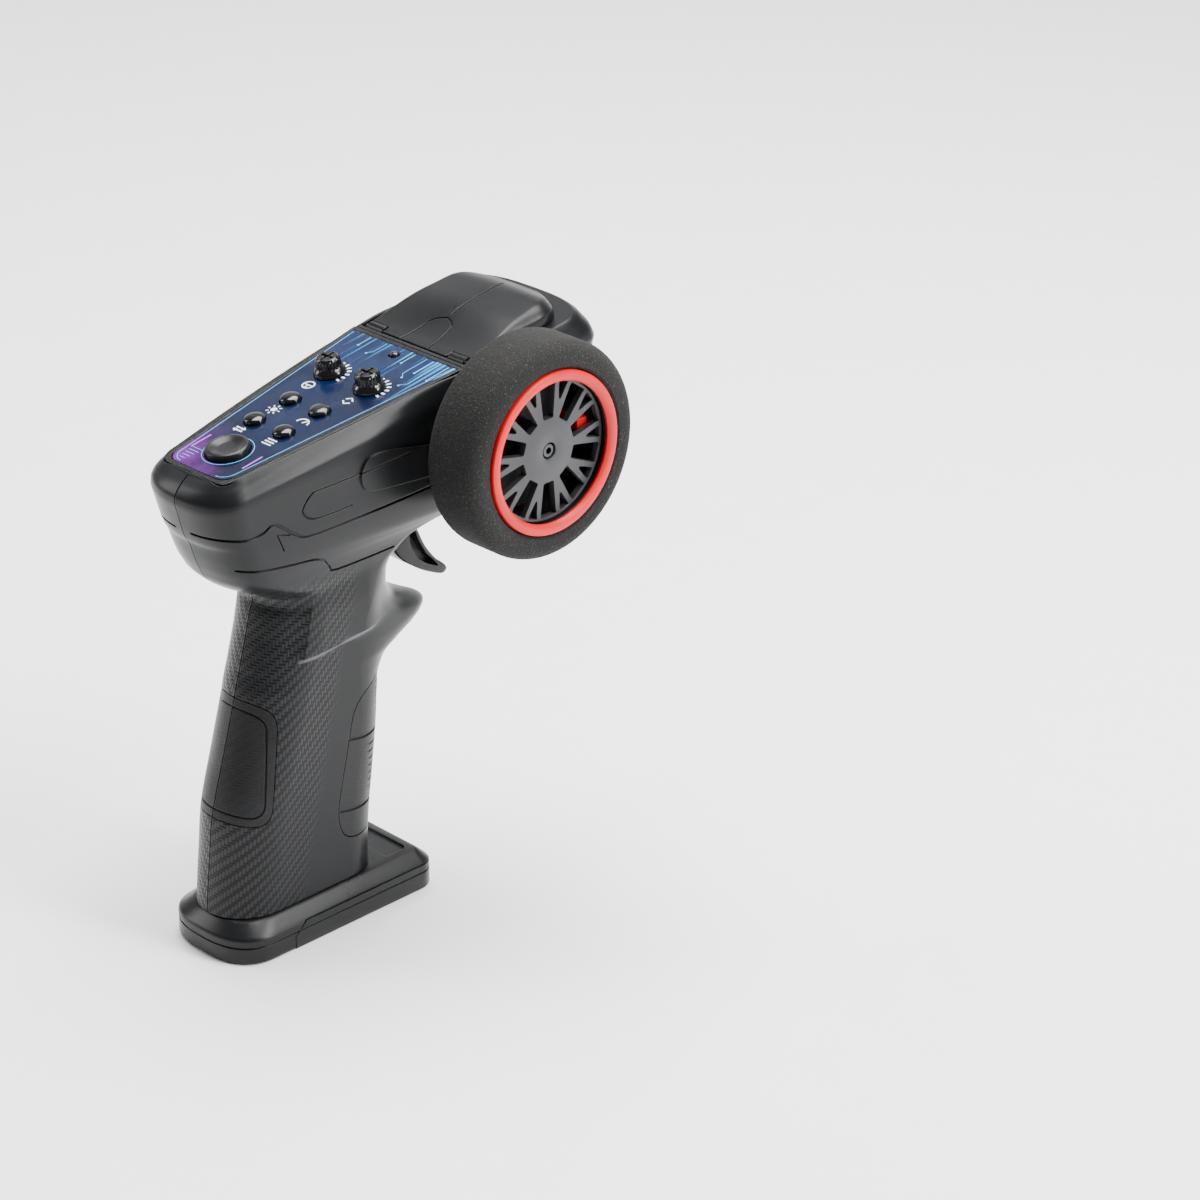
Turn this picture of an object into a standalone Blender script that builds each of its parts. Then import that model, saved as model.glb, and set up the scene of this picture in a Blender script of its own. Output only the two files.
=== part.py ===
"""Pistol-grip radio transmitter with a steering wheel, as an assembly of its separate pieces.

The work is in millimetres, and MM turns a mesh into metres when its object is made. X = 0 is the plane
where the left and right casings meet, +X is the steering wheel's side, +Y is forwards and +Z is up. The
origin is the middle of the foot's underside.
"""

import math

import bmesh
import bpy
import numpy as np
from mathutils import Matrix, Vector

MM = 0.001
GAP = 0.3  # between pieces that touch
WALL = 2.0  # casing wall
SEAM = 0.15  # from the middle plane to each casing
FLAT_ANGLE = math.radians(0.05)  # faces that meet at less than this are joined into one

# Foot and battery cover
FOOT_HALF_LENGTH = 36.6
FOOT_HALF_WIDTH = 17.7
FOOT_WALL_TOP = 8.0
FOOT_TOP = 11.5
FOOT_CHAMFER = 4.0
FOOT_SCREW_X = 11.6
COVER_REAR_Y = -17.0
CELL_RADIUS = 7.1
CELL_BOTTOM = 8.8
CELL_LENGTH = 50.0
CELL_Y = 7.8  # each cell's axis, fore and aft of the middle
CELL_CLEARANCE = 0.4
SPRING_TOP = 7.3  # clear of the cells, so that the hatch slides past them

# Control panel plane: x across, s forwards from its rear edge, t up from its face
PANEL_SLOPE = math.radians(10.3)
PANEL_REAR_Y = -31.1
PANEL_REAR_Z = 143.8
PANEL_LENGTH = 78.2
PANEL_HALF_REAR = 13.6
PANEL_HALF_FRONT = 22.3
CREASE_T = -6.2
GROOVE_T = -14.6
CEILING_T = -5.2  # underside of the head's top wall
CREASE_DIP = 0.02  # how much the crease falls away from the panel for each millimetre forwards

# Buttons and trims, as (x, s) on the panel
POWER_BUTTON = (0.0, 13.0, 6.1)
SMALL_BUTTONS = {
    "button_reverse": (-6.05, 27.5),
    "button_mode": (6.05, 27.5),
    "button_light": (-6.05, 40.3),
    "button_speed": (6.05, 40.3),
}
SMALL_BUTTON_RADIUS = 2.9
TRIM_S = 56.5
TRIM_X = 8.1
LED_S = 73.0
BOARD_T = -9.4

# Lid over the head's front
LID_REAR_S = 80.3
LID_FRONT_S = 120.0
LID_HALF_WIDTH = 20.9
LID_PIN_S = 81.9
LID_PIN_T = -1.4
LID_WELL_T = -4.2  # bottom of the hinge well
LID_RECESS_T = -3.1  # bottom of the recess under the lid
LID_RECESS_S = 111.0

# Steering wheel
WHEEL_Y = 53.1
WHEEL_Z = 139.1
TYRE_RADIUS = 31.0
TYRE_INNER = 23.6
TYRE_BACK_X = 31.0
TYRE_FRONT_X = 50.6
RING_INNER = 20.3
SPOKES = 10
WHEEL_STEPS = 32  # sides of the wheel's round pieces

# Trigger
TRIGGER_Y = 44.0
TRIGGER_Z = 124.0
TRIGGER_HALF_WIDTH = 4.7

SCREW_PLACES = ((-21.0, 125.0), (84.0, 138.0), (-8.0, 84.0), (-23.6, 30.0), (20.0, 82.0))


# ---------------------------------------------------------------- frames

def panel_frame():
    """Takes (x, s, t) on the control panel to millimetres in the world."""
    turn = Matrix.Rotation(PANEL_SLOPE, 4, "X")
    return Matrix.Translation((0.0, PANEL_REAR_Y, PANEL_REAR_Z)) @ turn


PANEL = panel_frame()


def on_panel(x, s, t):
    return PANEL @ Vector((x, s, t))


def in_metres(matrix):
    """The same placement with its position in metres."""
    placed = matrix.copy()
    placed.translation = matrix.translation * MM
    return placed


def clear_scene():
    for old in list(bpy.data.objects):
        bpy.data.objects.remove(old)


# ---------------------------------------------------------------- materials and objects

def material(name, colour, roughness, metallic=0.0):
    made = bpy.data.materials.get(name)
    if made:
        return made
    made = bpy.data.materials.new(name)
    made.use_nodes = True
    shader = made.node_tree.nodes["Principled BSDF"]
    shader.inputs["Base Color"].default_value = (*colour, 1.0)
    shader.inputs["Roughness"].default_value = roughness
    shader.inputs["Metallic"].default_value = metallic
    return made


def black_plastic():
    return material("satin_black_plastic", (0.035, 0.035, 0.037), 0.42)


def gloss_black():
    return material("gloss_black_plastic", (0.012, 0.012, 0.013), 0.18)


def panel_print():
    return material("panel_print", (0.02, 0.05, 0.16), 0.3)


def soft_rubber():
    return material("grip_rubber", (0.045, 0.045, 0.046), 0.7)


def foam():
    return material("wheel_foam", (0.05, 0.05, 0.048), 0.95)


def red_plastic():
    return material("red_plastic", (0.75, 0.05, 0.05), 0.35)


def grey_plastic():
    return material("grey_plastic", (0.16, 0.16, 0.165), 0.4)


def steel():
    return material("steel", (0.6, 0.6, 0.6), 0.3, 1.0)


def nickel():
    return material("nickel_contact", (0.7, 0.68, 0.6), 0.25, 1.0)


def board_green():
    return material("circuit_board", (0.02, 0.12, 0.05), 0.5)


def insulator(name, colour):
    return material(name, colour, 0.5)


def mesh_object(name, points, faces, finish, matrix=None, sharp=35.0):
    """One object from points in millimetres, with its faces turned outwards."""
    mesh = bpy.data.meshes.new(name)
    mesh.from_pydata([tuple(c * MM for c in p) for p in points], [], [list(f) for f in faces])
    work = bmesh.new()
    work.from_mesh(mesh)
    bmesh.ops.recalc_face_normals(work, faces=work.faces)
    work.to_mesh(mesh)
    work.free()
    mesh.shade_smooth()
    mesh.set_sharp_from_angle(angle=math.radians(sharp))
    made = bpy.data.objects.new(name, mesh)
    bpy.context.scene.collection.objects.link(made)
    if finish:
        mesh.materials.append(finish)
    if matrix is not None:
        made.matrix_world = in_metres(matrix)
    return made


def rework(mesh, action, **settings):
    """Runs one bmesh operation on a mesh."""
    work = bmesh.new()
    work.from_mesh(mesh)
    action(work, **settings)
    work.to_mesh(mesh)
    work.free()


def into_triangles(work):
    bmesh.ops.triangulate(work, faces=work.faces)


def join_flat_faces(work):
    bmesh.ops.dissolve_limit(work, angle_limit=FLAT_ANGLE, verts=work.verts, edges=work.edges)


def boolean(target, tool, operation="DIFFERENCE", sharp=35.0):
    """Cuts or joins the tool into the target, keeps the result and drops the tool."""
    rework(target.data, into_triangles)
    rework(tool.data, into_triangles)
    modifier = target.modifiers.new(operation.lower(), "BOOLEAN")
    modifier.operation = operation
    modifier.solver = "EXACT"
    modifier.object = tool
    bpy.context.view_layer.update()
    graph = bpy.context.evaluated_depsgraph_get()
    result = bpy.data.meshes.new_from_object(target.evaluated_get(graph))
    target.modifiers.clear()
    target.data = result
    rework(result, join_flat_faces)
    result.name = target.name
    result.shade_smooth()
    result.set_sharp_from_angle(angle=math.radians(sharp))
    bpy.data.objects.remove(tool)
    return target


# ---------------------------------------------------------------- shapes

def loft(rings):
    """Points and faces of a closed skin through rings of equal length, with a flat cap on each end."""
    count = len(rings[0])
    points = [p for ring in rings for p in ring]
    faces = [list(range(count))[::-1], [(len(rings) - 1) * count + i for i in range(count)]]
    for k in range(len(rings) - 1):
        for i in range(count):
            j = (i + 1) % count
            faces.append([k * count + i, k * count + j, (k + 1) * count + j, (k + 1) * count + i])
    return points, faces


def prism(outline, low, high, axis="Z"):
    """An outline of (a, b) pairs pushed along an axis: (x, y) for Z, (y, z) for X."""
    def place(a, b, c):
        return (a, b, c) if axis == "Z" else (c, a, b)

    return loft([[place(a, b, low) for a, b in outline], [place(a, b, high) for a, b in outline]])


def join_shapes(shapes):
    points, faces = [], []
    for more_points, more_faces in shapes:
        base = len(points)
        points += list(more_points)
        faces += [[base + i for i in face] for face in more_faces]
    return points, faces


def lathe(profile, steps=32, closed=False):
    """A profile of (radius, height) turned about the local Z axis. An open one ends on the axis."""
    points, faces, rows = [], [], []
    for radius, height in profile:
        if radius < 1e-6:
            rows.append([len(points)] * steps)
            points.append((0.0, 0.0, height))
            continue
        rows.append([len(points) + i for i in range(steps)])
        for i in range(steps):
            angle = 2 * math.pi * i / steps
            points.append((radius * math.cos(angle), radius * math.sin(angle), height))
    pairs = list(zip(rows, rows[1:] + rows[:1])) if closed else list(zip(rows, rows[1:]))
    for low, high in pairs:
        for i in range(steps):
            j = (i + 1) % steps
            face = [low[i], low[j], high[j], high[i]]
            unique = list(dict.fromkeys(face))
            if len(unique) > 2:
                faces.append(unique)
    return points, faces


def along_x(x, y, z):
    """Places a turned piece's axis along +X through (y, z)."""
    return Matrix.Translation((x, y, z)) @ Matrix.Rotation(math.pi / 2, 4, "Y")


def moved(shape, matrix):
    points, faces = shape
    return [tuple(matrix @ Vector(p)) for p in points], faces


def rod(radius, low, high, steps=20):
    return lathe([(0, low), (radius, low), (radius, high), (0, high)], steps)


def tube(inner, outer, low, high, steps=24):
    return lathe([(inner, low), (outer, low), (outer, high), (inner, high)], steps, closed=True)


def block(x0, x1, y0, y1, z0, z1):
    return prism([(x0, y0), (x1, y0), (x1, y1), (x0, y1)], z0, z1)


def rounded_outline(corners, radius, steps=4):
    """A polygon with each corner replaced by a quadratic curve that starts one radius from it."""
    result = []
    count = len(corners)
    for i in range(count):
        here = Vector(corners[i])
        before = Vector(corners[i - 1])
        after = Vector(corners[(i + 1) % count])
        reach_in = min(radius, (before - here).length * 0.45)
        reach_out = min(radius, (after - here).length * 0.45)
        start = here + (before - here).normalized() * reach_in
        end = here + (after - here).normalized() * reach_out
        for k in range(steps + 1):
            f = k / steps
            point = start * (1 - f) ** 2 + here * 2 * f * (1 - f) + end * f ** 2
            result.append((point.x, point.y))
    return result


def coil(radius, wire, low, high, turns, per_turn=14, sides=6, top_radius=None):
    """A round wire wound about the local Z axis, closed at both ends."""
    top = radius if top_radius is None else top_radius
    count = int(turns * per_turn) + 1
    rings = []
    for k in range(count):
        f = k / (count - 1)
        angle = 2 * math.pi * turns * f
        r = radius + (top - radius) * f
        centre = Vector((r * math.cos(angle), r * math.sin(angle), low + (high - low) * f))
        outward = Vector((math.cos(angle), math.sin(angle), 0.0))
        ring = []
        for i in range(sides):
            a = 2 * math.pi * i / sides
            ring.append(tuple(centre + outward * (wire * math.cos(a)) + Vector((0, 0, wire * math.sin(a)))))
        rings.append(ring)
    return loft(rings)


def wire_run(route, radius, sides=6, steps=3):
    """A lead of round section along a smooth curve through the route's points."""
    dense = []
    for i in range(len(route) - 1):
        a = Vector(route[max(i - 1, 0)])
        b = Vector(route[i])
        c = Vector(route[i + 1])
        d = Vector(route[min(i + 2, len(route) - 1)])
        for k in range(steps):
            f = k / steps
            bend = (2 * b) + (c - a) * f + (2 * a - 5 * b + 4 * c - d) * f ** 2
            dense.append(0.5 * (bend + (3 * b - a - 3 * c + d) * f ** 3))
    dense.append(Vector(route[-1]))
    rings = []
    for i, point in enumerate(dense):
        ahead = (dense[min(i + 1, len(dense) - 1)] - dense[max(i - 1, 0)]).normalized()
        side = ahead.cross(Vector((1.0, 0.13, 0.21))).normalized()
        other = ahead.cross(side)
        turns = [2 * math.pi * k / sides for k in range(sides)]
        across = [(side * math.cos(a) + other * math.sin(a)) * radius for a in turns]
        rings.append([tuple(point + step) for step in across])
    return loft(rings)


# ---------------------------------------------------------------- body outline

def ease(value, start, end):
    f = min(max((value - start) / (end - start), 0.0), 1.0)
    return f * f * (3 - 2 * f)


def deck_drop(s, t):
    """How far the head's top sinks below the panel's plane in front of the panel."""
    fade = 1.0 - ease(-t, 6.0, 20.0)
    return 3.3 * ease(s, 84.0, 114.0) * fade


def panel_point(s, t):
    """(y, z) of a point of the middle plane given on the panel's plane."""
    place = on_panel(0.0, s, t - deck_drop(s, t))
    return (place.y, place.z)


class Station:
    """One closed slice of the body: its end points in the middle plane, half-widths and rounded ends."""

    def __init__(self, rear, front, widths, caps, powers=(2.0, 2.0), flare=1.0):
        self.rear = Vector(rear)
        self.front = Vector(front)
        self.length = (self.front - self.rear).length
        self.widths = widths
        self.caps = caps
        self.powers = powers
        self.flare = flare

    def place(self, distance):
        """(y, z) at a distance forwards from the rear point."""
        return self.rear + (self.front - self.rear) * (distance / self.length)


class HeadStation(Station):
    """A slice that lies along the panel's plane, t above it, and sinks with the deck in front."""

    def __init__(self, t, rear_s, front_s, widths, caps, powers, dip=0.0):
        self.t = t
        self.rear_s = rear_s
        self.dip = dip
        ends = (panel_point(rear_s, t), panel_point(front_s, t))
        super().__init__(*ends, widths, caps, powers, 2.0)
        self.length = front_s - rear_s

    def place(self, distance):
        s = self.rear_s + distance
        return Vector(panel_point(s, self.t - self.dip * max(s, 0.0)))


def body_stations():
    """The casing's slices from the foot up to the panel."""
    low = [
        Station((-33.6, 11.8), (21.0, 11.8), (13.7, 13.4), (14.0, 13.0)),
        Station((-33.0, 18.0), (21.2, 18.0), (13.8, 13.4), (14.0, 13.0)),
        Station((-31.9, 26.9), (21.9, 26.9), (13.9, 13.5), (14.0, 13.0)),
        Station((-30.1, 40.5), (23.6, 40.5), (14.1, 13.7), (14.0, 13.0)),
        Station((-25.9, 55.0), (25.4, 55.0), (14.3, 13.9), (14.0, 13.0)),
        Station((-22.6, 66.0), (26.2, 65.5), (14.4, 14.0), (14.0, 13.0)),
        Station((-20.6, 73.0), (27.8, 72.0), (14.4, 14.1), (14.0, 15.0)),
        Station((-19.8, 76.0), (33.0, 76.0), (14.5, 14.1), (14.0, 20.0), (2.0, 1.8)),
        Station((-19.0, 78.5), (40.0, 78.3), (14.5, 14.1), (14.0, 26.0), (2.0, 1.7)),
        Station((-18.2, 81.0), (47.2, 80.6), (14.5, 14.1), (14.0, 33.0), (2.0, 1.6)),
        Station((-17.8, 82.5), (48.3, 82.0), (14.5, 14.1), (14.0, 34.0), (2.0, 1.6)),
        Station((-17.2, 84.5), (46.5, 84.0), (14.5, 14.1), (14.0, 32.0), (2.0, 1.6)),
        Station((-16.2, 88.0), (40.0, 87.6), (14.5, 14.2), (14.0, 26.0), (2.0, 1.7)),
        Station((-15.3, 91.0), (34.2, 91.0), (14.6, 14.3), (14.0, 20.0), (2.0, 1.9)),
        Station((-14.4, 94.5), (31.0, 94.5), (14.6, 14.4), (13.5, 15.0)),
        Station((-13.4, 98.0), (30.0, 98.5), (14.7, 14.5), (13.0, 12.0)),
        Station((-12.4, 101.0), (30.2, 103.3), (14.8, 14.7), (12.5, 11.0)),
        Station((-13.4, 103.4), (31.6, 106.0), (15.0, 15.0), (12.5, 11.0)),
        Station((-19.5, 106.6), (34.0, 108.3), (16.2, 15.4), (13.0, 10.0)),
        Station((-24.5, 109.2), (38.5, 111.6), (16.8, 16.2), (13.0, 10.0)),
        Station((-27.5, 111.8), (46.0, 114.0), (17.0, 17.4), (12.0, 10.0), (2.2, 2.2)),
        Station((-29.5, 115.2), (58.0, 116.0), (17.2, 19.2), (11.0, 10.0), (2.3, 2.4), 1.4),
        Station((-31.1, 119.2), (74.0, 118.8), (17.3, 21.6), (10.5, 10.0), (2.3, 2.6), 1.7),
        Station((-32.5, 123.6), (87.0, 127.0), (17.4, 23.6), (10.0, 10.0), (2.3, 2.7), 1.9),
    ]
    high = [
        HeadStation(GROOVE_T, -6.3, 127.5, (17.4, 24.8), (10.0, 10.0), (2.3, 2.7), CREASE_DIP),
        HeadStation(CREASE_T, -6.9, 130.0, (18.0, 25.4), (10.0, 10.0), (2.3, 2.7), CREASE_DIP),
        HeadStation(-4.2, -6.3, 129.4, (17.6, 25.0), (9.8, 10.0), (2.3, 2.7), CREASE_DIP * 0.6),
        HeadStation(-2.2, -4.4, 128.0, (16.3, 24.2), (9.0, 10.0), (2.4, 2.7), CREASE_DIP * 0.3),
        HeadStation(-0.6, -1.6, 126.4, (14.8, 23.4), (7.6, 10.0), (2.6, 2.7)),
        HeadStation(0.0, -0.5, 125.6, (14.4, 22.9), (7.2, 10.0), (2.8, 2.7)),
    ]
    return low + high


CAP_STEPS = 5
SIDE_STEPS = 5


def half_outline(station, inset):
    """(distance, half-width) from the rear point to the front point of one slice."""
    length = station.length - 2 * inset
    w_rear, w_front = (w - inset for w in station.widths)
    c_rear, c_front = (max(c - inset, 2.0) for c in station.caps)
    p_rear, p_front = station.powers
    pairs = []
    for k in range(CAP_STEPS + 1):
        angle = math.pi / 2 * k / CAP_STEPS
        across = w_rear * math.sin(angle) ** (2 / p_rear)
        pairs.append((c_rear * (1 - math.cos(angle) ** (2 / p_rear)), across))
    for k in range(1, SIDE_STEPS):
        f = k / SIDE_STEPS
        grow = 1 - (1 - f) ** station.flare
        pairs.append((c_rear + (length - c_rear - c_front) * f, w_rear + (w_front - w_rear) * grow))
    for k in range(CAP_STEPS, -1, -1):
        angle = math.pi / 2 * k / CAP_STEPS
        across = w_front * math.sin(angle) ** (2 / p_front)
        pairs.append((length - c_front * (1 - math.cos(angle) ** (2 / p_front)), across))
    return pairs


def half_ring(station, inset, sign, middle):
    """One half of a slice as a closed ring: forwards along the skin, back along x = sign * middle."""
    places = []
    for distance, across in half_outline(station, inset):
        y, z = station.place(distance + inset)
        places.append((max(across, middle), y, z))
    skin = [(sign * x, y, z) for x, y, z in places[1:-1]]
    inside = [(sign * middle, y, z) for _, y, z in places]
    return [inside[0], *skin, inside[-1], *inside[-2:0:-1]]


def half_loft(rings):
    """A closed skin through half rings, whose end caps bend with their slice."""
    points, faces = loft(rings)
    count = len(rings[0])
    half = count // 2
    caps = []
    for base in (0, (len(rings) - 1) * count):
        for i in range(half):
            corners = [i, i + 1, (count - i - 1) % count, (count - i) % count]
            caps.append([base + c for c in dict.fromkeys(corners)])
    return points, caps + faces[2:]


def outer_half(sign):
    return half_loft([half_ring(station, 0.0, sign, SEAM) for station in body_stations()])


def inner_half(sign, inset, ceiling_t=CEILING_T):
    """The body's half drawn in by inset, open past the foot and through the middle plane."""
    stations = [s for s in body_stations() if not isinstance(s, HeadStation) or s.t < ceiling_t]
    below = Station((-33.6, 10.0), (21.0, 10.0), (13.7, 13.4), (14.0, 13.0))
    top = HeadStation(ceiling_t, -6.6, 129.6, (17.8, 25.2), (9.9, 10.0), (2.3, 2.7), CREASE_DIP * 0.8)
    return half_loft([half_ring(station, inset, sign, -4.0) for station in [below, *stations, top]])


# ---------------------------------------------------------------- casings

PALM_OUTLINE = [(-45.0, 80.0), (-14.6, 72.6), (-20.4, 38.2), (-45.0, 43.5)]
FINGER_OUTLINE = [(50.0, 78.0), (31.0, 76.0), (10.5, 66.6), (2.8, 33.0), (5.6, 24.0), (40.0, 23.0)]
TRIGGER_SLOT = [(27.4, 97.0), (40.0, 97.0), (60.0, 104.0), (60.0, 122.0), (36.0, 128.0), (27.4, 116.0)]
PAD_DEPTH = 1.7


def pad_outline(corners, spread):
    """A pad's outline in (y, z), spread outwards from its middle by a distance."""
    rounded = rounded_outline(corners, 6.0, 3)
    middle_y = sum(y for y, _ in rounded) / len(rounded)
    middle_z = sum(z for _, z in rounded) / len(rounded)
    result = []
    for y, z in rounded:
        away = Vector((y - middle_y, z - middle_z))
        away = away * (1 + spread / away.length)
        result.append((middle_y + away.x, middle_z + away.y))
    return result


def in_order(low, high):
    return (low, high) if low < high else (high, low)


def pad_layer(sign, corners, spread, depth):
    """The layer of the body's skin inside a pad's outline, as a loose solid."""
    layer = mesh_object("pad_layer", *outer_half(sign), None)
    window = prism(pad_outline(corners, spread), *in_order(sign * 0.1, sign * 40.0), axis="X")
    boolean(layer, mesh_object("pad_window", *window, None), "INTERSECT")
    core = mesh_object("pad_core", *inner_half(sign, depth), None)
    return boolean(layer, core)


def make_pad(name, sign, corners):
    pad = pad_layer(sign, corners, -GAP, PAD_DEPTH - GAP)
    pad.name = name
    pad.data.name = name
    pad.data.materials.clear()
    pad.data.materials.append(soft_rubber())
    return pad


def pocket(casing, sign, corners):
    """Sinks the casing's skin where a pad lies."""
    window = prism(pad_outline(corners, 0.0), *in_order(sign * -1.0, sign * 40.0), axis="X")
    outside = mesh_object("pocket", *window, None)
    boolean(outside, mesh_object("pocket_core", *inner_half(sign, PAD_DEPTH), None))
    return boolean(casing, outside)


def side_rods(places, radius, low, high, sign, steps=12):
    """Rods along X at each (y, z), between two distances from the middle plane."""
    return join_shapes([
        moved(rod(radius, *in_order(sign * low, sign * high), steps), along_x(0, y, z)) for y, z in places
    ])


def panel_prism(outline, low, high):
    """An outline of (x, s) on the panel's plane between two heights t."""
    return moved(prism(outline, low, high), PANEL)


def panel_half_width(s):
    return PANEL_HALF_REAR + (PANEL_HALF_FRONT - PANEL_HALF_REAR) * s / PANEL_LENGTH


def panel_outline(inset, rear=0.3, front=PANEL_LENGTH, radius=4.0):
    """The control panel's outline, drawn in by inset, with rounded rear corners."""
    w_rear = panel_half_width(rear) - inset
    w_front = panel_half_width(front) - inset
    low, high = rear + inset, front - inset
    side = [(w_front, high), (w_front - 0.1, high - 0.8), (w_rear, low + radius)]
    corner = [(w_rear - radius * (1 - math.cos(a)), low + radius * (1 - math.sin(a)))
              for a in (math.pi / 8, math.pi / 4, 3 * math.pi / 8)]
    right = side + corner + [(w_rear - radius, low)]
    return [(-x, s) for x, s in right][::-1] + right


def under_lid(front_s, bottom_t):
    """The recess under the lid, from its rear edge to front_s."""
    half = LID_HALF_WIDTH + 0.4
    rear = LID_REAR_S - 0.7
    return panel_prism([(-half, rear), (half, rear), (half, front_s), (-half, front_s)], bottom_t, 3.0)


def add_pillar(casing, sign, place, radius, bore, start, depth):
    """A bored pillar along X from near the middle plane out to the casing's wall."""
    pillar = mesh_object("pillar", *side_rods([place], radius, start, 40.0, sign), None)
    boolean(pillar, mesh_object("clip", *inner_half(sign, WALL * 0.5), None), "INTERSECT")
    boolean(casing, pillar, "UNION")
    return boolean(casing, mesh_object("bore", *side_rods([place], bore, -1.0, depth, sign), None))


def add_pillars(casing, sign):
    """Screw pillars, sunk from outside on the left casing, and the bearings of the trigger's pin."""
    for place in SCREW_PLACES:
        add_pillar(casing, sign, place, 3.6, 1.5, 0.25, 8.2 if sign > 0 else 9.0)
        if sign < 0:
            boolean(casing, mesh_object("sink", *side_rods([place], 3.1, 8.6, 40.0, sign), None))
    start, depth = (7.2, 15.8) if sign > 0 else (13.4, 17.2)
    return add_pillar(casing, sign, (TRIGGER_Y, TRIGGER_Z), 4.2, 1.75, start, depth)


def top_cutters(sign):
    """The panel's opening with its ledge, the lid's hinge well and the pin holes."""
    pin_low, pin_high = in_order(sign * 12.3, sign * 21.6)
    pin = moved(rod(1.0, pin_low, pin_high, 12), Matrix.Translation(on_panel(0, LID_PIN_S, LID_PIN_T))
                @ Matrix.Rotation(math.pi / 2, 4, "Y"))
    return [
        panel_prism(panel_outline(-GAP), -1.9, 3.0),
        panel_prism(panel_outline(1.6), CEILING_T - 1.0, -1.8),
        under_lid(LID_PIN_S + 2.7, LID_WELL_T),
        under_lid(LID_RECESS_S, LID_RECESS_T),
        pin,
    ]


def trigger_slot(sign):
    points, faces = prism(TRIGGER_SLOT, *in_order(sign * -1.0, sign * 5.7), axis="X")
    return points, faces


def foot_screw_bore(sign):
    return moved(rod(1.35, 9.0, 15.4, 12), Matrix.Translation((sign * FOOT_SCREW_X, 0.0, 0.0)))


def make_casing(name, sign):
    casing = mesh_object(name, *outer_half(sign), black_plastic())
    for corners in (PALM_OUTLINE, FINGER_OUTLINE):
        pocket(casing, sign, corners)
    hollow = mesh_object("hollow", *inner_half(sign, WALL + PAD_DEPTH), None)
    boolean(casing, hollow)
    add_pillars(casing, sign)
    for shape in top_cutters(sign) + [trigger_slot(sign), foot_screw_bore(sign)]:
        boolean(casing, mesh_object("tool", *shape, None))
    return casing


def add_wheel_boss(casing):
    """A collar round the steering bush, outside and inside the right casing."""
    collar = mesh_object("collar", *tube(5.4, 9.5, 18.0, 28.6), None, along_x(0, WHEEL_Y, WHEEL_Z))
    boolean(casing, collar, "UNION")
    bore = mesh_object("bore", *rod(5.4, 12.0, 40.0, 24), None, along_x(0, WHEEL_Y, WHEEL_Z))
    return boolean(casing, bore)


# ---------------------------------------------------------------- foot and batteries

def foot_outline(inset=0.0, steps=7):
    """The foot from above: straight sides, a full round rear and rounded front corners."""
    half = FOOT_HALF_WIDTH - inset
    rear = FOOT_HALF_LENGTH - inset
    right = []
    for k in range(steps + 1):
        angle = math.pi / 2 * k / steps
        right.append((half * math.sin(angle) ** 0.8, -rear + 13.0 * (1 - math.cos(angle) ** 0.8)))
    corner = max(6.0 - inset, 1.5)
    for k in range(5):
        angle = math.pi / 2 * k / 4
        right.append((half - corner * (1 - math.cos(angle)), rear - corner * (1 - math.sin(angle))))
    return right + [(-x, y) for x, y in right[:0:-1]]


def foot_rings(levels):
    return loft([[(x, y, z) for x, y in foot_outline(inset)] for inset, z in levels])


def cover_window(back_y):
    """The side view of the space that the battery cover slides out of, with its slanted rear joint."""
    lean = 4.0
    return [(back_y, -1.0), (60.0, -1.0), (60.0, FOOT_WALL_TOP), (back_y + lean, FOOT_WALL_TOP),
            (back_y, FOOT_WALL_TOP - lean)]


def cell_box(grow, low, high):
    """A capsule from above round both cells, grown outwards by grow."""
    radius = CELL_RADIUS + 1.2 + grow
    turns = [math.pi * k / 8 for k in range(9)]
    front = [(radius * math.cos(a), CELL_Y + radius * math.sin(a)) for a in turns]
    return prism(front + [(-x, -y) for x, y in front], low, high)


def make_foot():
    levels = [(0.7, 0.0), (0.0, 0.7), (0.0, FOOT_WALL_TOP), (FOOT_CHAMFER * 0.9, FOOT_TOP - 0.2),
              (FOOT_CHAMFER + 0.3, FOOT_TOP)]
    foot = mesh_object("foot", *foot_rings(levels), black_plastic())
    boolean(foot, mesh_object("tool", *prism(cover_window(COVER_REAR_Y), -30.0, 30.0, axis="X"), None))
    boolean(foot, mesh_object("tool", *cell_box(GAP, 5.0, 15.0), None))
    for x in (-FOOT_SCREW_X, FOOT_SCREW_X):
        for shape in (rod(1.5, 6.0, 15.0, 12), rod(3.0, 6.0, 9.6, 12)):
            boolean(foot, mesh_object("tool", *moved(shape, Matrix.Translation((x, 0.0, 0.0))), None))
    return foot


def make_battery_cover():
    levels = [(0.7, 0.0), (0.0, 0.7), (0.0, FOOT_WALL_TOP - GAP)]
    cover = mesh_object("battery_cover", *foot_rings(levels), black_plastic())
    keep = prism([(y + GAP, z - GAP * (z > 5)) for y, z in cover_window(COVER_REAR_Y)], -30.0, 30.0, axis="X")
    boolean(cover, mesh_object("tool", *keep, None), "INTERSECT")
    boolean(cover, mesh_object("tool", *block(-14.5, 14.5, COVER_REAR_Y + 2.5, 31.0, 2.2, 12.0), None))
    return cover


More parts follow.
